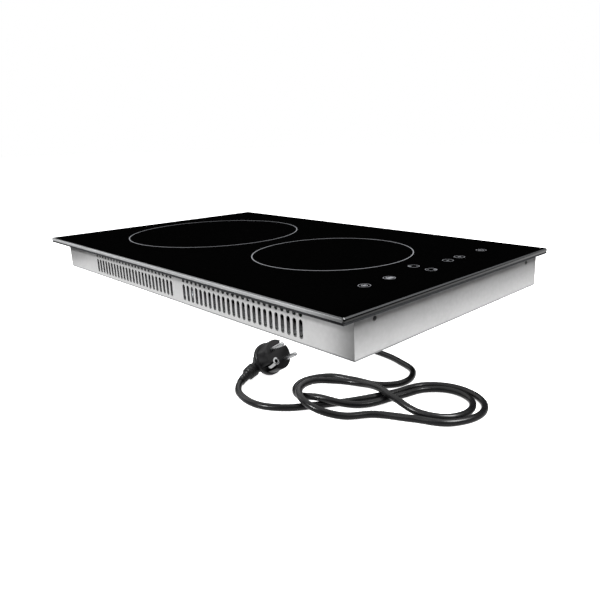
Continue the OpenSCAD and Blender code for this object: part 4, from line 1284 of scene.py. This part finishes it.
@dataclass
class Plug:
    """The moulded two-pin earthed plug at the end of the lead, which leaves it sideways.

    Where the lead ends is in metres, every size in millimetres and every angle in degrees.
    """

    lead_end: Vector
    lead_way: Vector
    face_mm: Point = (-37.0, -41.5, -108.1)
    heading: float = -82.0
    tilt: float = 30.0
    roll: float = 126.0
    nose_r: float = 17.0
    flange_r: float = 18.4
    nose_l: float = 16.0
    length: float = 35.0
    neck_x: float = 27.0
    neck_l: float = 19.0
    neck_r: float = 7.5
    neck_turn: float = 25.0
    relief_r: Flat = (4.3, 6.6)
    relief_steps: int = 70
    collar_mm: float = 1.8
    groove_mm: float = 0.8
    pitch_mm: float = 3.4
    notch_deep: float = 4.0
    notch_half: float = 4.5
    past: float = 1.0
    earth_z: float = 10.0
    bore_r: float = 2.5
    bore_l: float = 14.0
    pin_r: float = 2.4
    pin_l: float = 19.0
    pin_root: float = 6.0
    pin_gap: float = 19.0
    clip_half: float = 1.8
    clip_thick: float = 0.6

    def place(self, x: float = 0.0, y: float = 0.0, z: float = 0.0) -> Matrix:
        """Return a place on the plug, whose own X axis points out of its face.

        Args:
            x: How far it is in front of the face, in millimetres.
            y: How far it is from the axis towards a pin.
            z: How far it is from the axis towards the earth socket.

        Returns:
            The place, in metres.
        """
        turn = (Matrix.Rotation(math.radians(self.heading), 4, "Z")
                @ Matrix.Rotation(math.radians(-self.tilt), 4, "Y")
                @ Matrix.Rotation(math.radians(self.roll), 4, "X"))
        return (Matrix.Translation(Vector(self.face_mm) * MM) @ turn
                @ Matrix.Translation(Vector((x, y, z)) * MM))

    def neck_place(self) -> Matrix:
        """Return the neck's place, whose own X axis runs along it towards the lead.

        Returns:
            The place, in metres.
        """
        a = math.radians(self.neck_turn)
        way = Vector((1, 0, 0)).rotation_difference(Vector((0, math.sin(a), math.cos(a))))
        return self.place(-self.neck_x) @ way.to_matrix().to_4x4()

    def build(self) -> list[Piece]:
        """Build the plug and return its pieces."""
        return [self.body(), self.pins(), self.clips(), self.relief()]

    def body(self) -> Piece:
        """Build the rubber body: back with finger grooves, flange, nose and neck.

        Returns:
            The body.
        """
        n, f, back = self.nose_r, self.flange_r, -self.length
        profile = [(back, 0), (back, 9.4), (back + 0.4, 10.2), (back + 1.2, 10.8),
                   (back + 3.0, 11.5), (back + 3.4, 11.1), (back + 4.2, 11.2),
                   (back + 4.6, 12.1), (back + 7.0, 13.0), (back + 7.4, 12.6),
                   (back + 8.2, 12.8), (back + 8.6, 13.7), (back + 11.0, 14.5),
                   (back + 12.4, 14.9), (back + 13.0, 15.4), (back + 13.0, f - 1.2),
                   (back + 13.35, f - 0.35), (back + 14.2, f), (back + 17.6, f),
                   (back + 18.5, f - 0.4), (-self.nose_l, f - 1.2), (-self.nose_l, n),
                   (-1.6, n), (-0.5, n - 0.45), (0, n - 1.6), (0, 0)]
        sharp = 38.0
        plug = make("plug_moulding", *turned(profile, 96, self.place()), PLUG_RUBBER,
                    sharp_deg=sharp)
        end, r = self.neck_l, self.relief_r[1]
        neck = [(0, 0), (0, self.neck_r), (end - 5.5, self.neck_r - 0.6),
                (end - 4.5, self.neck_r - 0.9), (end - 0.3, r), (end, r - 0.3), (end, 0)]
        bite(plug, make("neck", *turned(neck, 48, self.neck_place()), PLUG_RUBBER), "UNION")
        for cutter in self.cutters():
            bite(plug, cutter)
        tidy(plug.data, sharp)
        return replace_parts(plug, "plug_body")

    def cutters(self) -> list[Piece]:
        """Make the shapes cut out of the body: two clip notches and the earth socket.

        Returns:
            The shapes.
        """
        shells = []
        for s in (-1, 1):
            verts, faces = slab(oblong(-self.nose_l, self.past, -self.notch_half,
                                       self.notch_half),
                                s * (self.nose_r - self.notch_deep),
                                s * (self.nose_r + self.past))
            shells.append(([self.place() @ v for v in verts], faces))
        bore = [(-self.bore_l, 0), (-self.bore_l, self.bore_r), (self.past, self.bore_r),
                (self.past, 0)]
        shells.append(turned(bore, 32, self.place(z=self.earth_z)))
        return [make("cutter", *shell, PLUG_RUBBER) for shell in shells]

    def pins(self) -> Piece:
        """Build the two contact pins with their rounded tips.

        Returns:
            The pins.
        """
        r, l = self.pin_r, self.pin_l
        profile = [(-self.pin_root, 0), (-self.pin_root, r), (l - 1.6, r), (l - 0.9, r - 0.25),
                   (l - 0.3, r - 0.8), (l, r - 1.5), (l, 0)]
        shells = [turned(profile, 40, self.place(y=s * self.pin_gap / 2)) for s in (-1, 1)]
        pins = make("contact_pins", *joined(shells), NICKEL)
        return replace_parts(pins, "plug_pins")

    def clips(self) -> Piece:
        """Build the two side clips; one bends over the face to the ring of the socket.

        Returns:
            The clips.
        """
        floor = self.nose_r - self.notch_deep
        bow = [(-15.6, floor + 0.1), (-13.0, floor + 0.5), (-9.5, floor + 2.0),
               (-7.0, floor + 2.5), (-4.5, floor + 2.1), (-2.0, floor + 0.9)]
        over = [(-1.0, floor + 0.6), (-0.3, floor + 0.4), (0.1, floor - 0.1),
                (0.1, floor - 0.8)]
        socket = [(-13, 2.15), (0.55, 2.15), (0.7, 2.3), (0.7, 3.9), (0.55, 4.1), (0.1, 4.1),
                  (0.1, 2.48), (-13, 2.48), (-13, 2.15)]
        shells = [self.strip(bow + over, 1), self.strip(bow + [(-1.2, floor + 0.4)], -1),
                  turned(socket, 40, self.place(z=self.earth_z))]
        clips = make("earth_clips", *joined(shells), NICKEL)
        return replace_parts(clips, "plug_earth_clips")

    def strip(self, line: Sequence[Flat], side: int) -> Shell:
        """Bend a strip of sheet along a line.

        Args:
            line: Points (x, z) of its inner face, in millimetres.
            side: 1 for the clip by the socket, -1 for the one opposite.

        Returns:
            Points in metres and faces.
        """
        flip = Matrix.Identity(4) if side > 0 else Matrix.Rotation(math.pi, 4, "X")
        loops = []
        for i, (x, z) in enumerate(line):
            before, after = line[max(i - 1, 0)], line[min(i + 1, len(line) - 1)]
            way = Vector((after[0] - before[0], 0, after[1] - before[1])).normalized()
            out = Vector((-way.z, 0, way.x)) * self.clip_thick
            loops.append([self.place() @ flip @ ((Vector((x, y, z)) + up * out) * MM)
                          for y, up in oblong(-self.clip_half, self.clip_half, 0, 1)])
        return lofted(loops)

    def relief(self) -> Piece:
        """Build the bending relief between the lead and the plug's neck, with its ribs.

        Returns:
            The relief.
        """
        at = self.neck_place()
        end = at @ (Vector((self.neck_l, 0, 0)) * MM)
        way = (at.to_3x3() @ Vector((-1, 0, 0))).normalized()
        line = [spline(self.lead_end, end, self.lead_way, way, k / self.relief_steps)
                for k in range(self.relief_steps + 1)]
        start, stop = self.relief_r[0] - 0.1, self.relief_r[1] - 0.8
        relief = ribbed_tube().grow("plug_relief_moulding", PLUG_RUBBER, line, {
            "Start": start * MM, "End": stop * MM, "Collar": self.collar_mm * MM,
            "Depth": self.groove_mm * MM, "Pitch": self.pitch_mm * MM, "Sides": 32},
            sharp_deg=50)
        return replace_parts(relief, "plug_relief")


# ---- Studio ----


def seen(tree: Tree) -> Socket:
    """Add the test of what looks at a surface.

    Args:
        tree: The node tree it goes into.

    Returns:
        1 for rays from the camera or through clear glass, and 0 for the rest.
    """
    path = add(tree, "ShaderNodeLightPath").outputs
    return add(tree, "ShaderNodeMath", {0: path["Is Camera Ray"],
                                        1: path["Is Transmission Ray"]},
               operation="MAXIMUM").outputs[0]


def flat_face(name: str, corners: Sequence[Point], material: bpy.types.Material) -> Piece:
    """Make one flat face that stands round the object.

    Args:
        name: Its name.
        corners: Its corners in order, in metres.
        material: What it is made of.

    Returns:
        The face.
    """
    mesh = bpy.data.meshes.new(name)
    mesh.from_pydata(corners, [], [range(len(corners))])
    mesh.materials.append(material)
    return shown(name, mesh)


@dataclass(frozen=True)
class Softbox:
    """A rectangular lamp, which the camera does not see. Its lengths are in metres."""

    name: str
    place: Point
    aim: Point
    size: Flat
    watts: float

    def hang(self) -> None:
        """Hang the lamp at its place and aim it."""
        data = bpy.data.lights.new(self.name, "AREA")
        data.shape, data.energy = "RECTANGLE", self.watts
        data.size, data.size_y = self.size
        lamp = shown(self.name, data)
        lamp.visible_camera = False
        lamp.location = self.place
        way = Vector(self.aim) - Vector(self.place)
        lamp.rotation_euler = way.to_track_quat("-Z", "Y").to_euler()


@dataclass(frozen=True)
class Card:
    """A black card that only reflections see, or one that only keeps a lamp's light off."""

    name: str
    corners: tuple[Point, ...]
    shades: bool = False

    def stand(self) -> None:
        """Put the card in its place."""
        card = flat_face(self.name, self.corners, self.black())
        card.visible_camera = False
        card.visible_diffuse = False
        card.visible_transmission = False
        card.visible_shadow = self.shades
        card.visible_glossy = not self.shades

    def black(self) -> bpy.types.Material:
        """Return the cards' matt black, which is made once.

        Returns:
            The material.
        """
        found = bpy.data.materials.get("Black card")
        if found:
            return found
        material = bpy.data.materials.new("Black card")
        tree = cleared(material)
        matt = add(tree, "ShaderNodeBsdfDiffuse", {"Color": linear("030303")})
        add(tree, "ShaderNodeOutputMaterial", {"Surface": matt.outputs[0]})
        return material


@dataclass
class Studio:
    """Camera, lights, floor and the cards that keep the glass and the sheet dark.

    Lengths are in metres but for the lens and the sensor, and angles are in degrees. The
    floor cards' corners are in plan.
    """

    place: Point = (-0.3953, -0.4993, 0.119)
    azimuth: float = -46.98
    elevation: float = 14.75
    roll: float = -1.14
    lens_mm: float = 33.6504
    sensor_mm: float = 36.0
    shift: Flat = (-0.1, -0.025)
    clip: Flat = (0.01, 50.0)
    floor_z: float = -0.1351
    floor_reach: float = 12.0
    floor_glow: float = 0.93
    surround: float = 0.2
    card_gap: float = 0.001
    # A small lamp for the left wall, a large one above the front wall, which the glass shades,
    # a faint one over the lead under the hob, and one from behind for the edges.
    lamps: tuple[Softbox, ...] = (
        Softbox("key", (-1.65, 0.2, 1.04), (-0.135, 0.0, 0.0), (0.2, 0.2), 39.0),
        Softbox("front", (0.1, -1.16, 1.78), (0.0, -0.25, 0.0), (0.8, 1.3), 112.0),
        Softbox("under", (0.0, -0.05, -0.036), (0.0, -0.05, -0.5), (0.24, 0.36), 0.3),
        Softbox("rim", (-0.62, 1.4, 1.0), (-0.15, 0.0, 0.0), (0.8, 1.5), 12.0))
    # The flag stands behind the hob, and the glass mirrors it. The shade stands to the left
    # of the hob and dims the left wall near its front corner.
    upright_cards: tuple[Card, ...] = (
        Card("flag", ((-1.2, 2.6, 0.02), (3.2, -0.9, 0.02), (3.2, -0.9, 3.2),
                      (-1.2, 2.6, 3.2))),
        Card("shade", ((-0.387, -0.5, 0.03), (-0.387, -0.164, 0.03), (-0.387, -0.164, 0.27),
                       (-0.387, -0.5, 0.27)), shades=True))
    # Dark floor round the hob, which only the walls and the glass's edge mirror.
    floor_cards: dict[str, tuple[Flat, ...]] = field(default_factory=lambda: {
        "front_card": ((-4, -4), (4, -4), (4, -0.46), (-4, -0.46)),
        "side_card": ((-4, -0.46), (-0.41, -0.46), (-0.41, 4), (-4, 4)),
        "corner_card": ((-0.41, -0.4), (-0.26, -0.4), (-0.26, -0.11), (-0.41, 0.03)),
        "far_card": ((-0.41, 0.8), (4, 0.8), (4, 4), (-0.41, 4))})

    def build(self) -> None:
        """Set up everything round the object."""
        bpy.context.scene.view_settings.view_transform = "Standard"
        self.camera()
        self.world()
        self.floor()
        z = self.floor_z + self.card_gap
        lying = [Card(name, tuple((x, y, z) for x, y in corners))
                 for name, corners in self.floor_cards.items()]
        for card in (*self.upright_cards, *lying):
            card.stand()
        for lamp in self.lamps:
            lamp.hang()

    def camera(self) -> None:
        """Make the camera, which looks back along its own Z axis."""
        turn, rise, lean = (math.radians(v) for v in (self.azimuth, self.elevation, self.roll))
        back = Vector((math.sin(turn) * math.cos(rise), -math.cos(turn) * math.cos(rise),
                       math.sin(rise)))
        level = Vector((0, 0, 1)).cross(back).normalized()
        over = back.cross(level)
        right = math.cos(lean) * level + math.sin(lean) * over
        up = math.cos(lean) * over - math.sin(lean) * level
        data = bpy.data.cameras.new("camera")
        data.sensor_width, data.lens = self.sensor_mm, self.lens_mm
        data.shift_x, data.shift_y = self.shift
        data.clip_start, data.clip_end = self.clip
        camera = shown("camera", data)
        camera.matrix_world = (Matrix.Translation(self.place)
                               @ Matrix((right, up, back)).transposed().to_4x4())
        bpy.context.scene.camera = camera

    def world(self) -> None:
        """Make a white surround that lights the object only softly."""
        world = bpy.data.worlds.new("surround")
        tree = cleared(world)
        soft, white = (add(tree, "ShaderNodeBackground", {"Color": WHITE, "Strength": strength})
                       for strength in (self.surround, 1.0))
        mix = add(tree, "ShaderNodeMixShader", {
            0: seen(tree), 1: soft.outputs[0], 2: white.outputs[0]})
        add(tree, "ShaderNodeOutputWorld", {"Surface": mix.outputs[0]})
        bpy.context.scene.world = world

    def floor(self) -> None:
        """Make the pale floor that the lead lies on: plain white in reflections, dull in light."""
        material = bpy.data.materials.new("Pale floor")
        tree = cleared(material)
        matt, dull = (add(tree, "ShaderNodeBsdfDiffuse", {"Color": linear(code)})
                      for code in ("F4F4F4", "6E6E6E"))
        glow, white = (add(tree, "ShaderNodeEmission", {"Color": WHITE, "Strength": strength})
                       for strength in (self.floor_glow, 1.0))
        both = add(tree, "ShaderNodeAddShader", {0: matt.outputs[0], 1: glow.outputs[0]})
        mirrored = add(tree, "ShaderNodeMixShader", {
            0: add(tree, "ShaderNodeLightPath").outputs["Is Glossy Ray"],
            1: dull.outputs[0], 2: white.outputs[0]})
        mix = add(tree, "ShaderNodeMixShader", {
            0: seen(tree), 1: mirrored.outputs[0], 2: both.outputs[0]})
        add(tree, "ShaderNodeOutputMaterial", {"Surface": mix.outputs[0]})
        s = self.floor_reach
        floor = flat_face("floor", [(x, y, self.floor_z) for x, y in oblong(-s, s, -s, s)],
                          material)


def main() -> None:
    """Build the studio and every sub-assembly."""
    logging.basicConfig(level=logging.INFO, format="%(name)s: %(message)s")
    parts = [Studio(), MainsLead(), GlassPlate(), Tray(),
             CoilSet("rear", turns=16, peg_mm=60.0, lead_slope=-1),
             CoilSet("front", turns=11, peg_mm=45.0, lead_slope=1), Electronics(), Blower()]
    for part in parts:
        part.build()
        LOG.info("built %s", type(part).__name__)


if __name__ == "__main__":
    main()
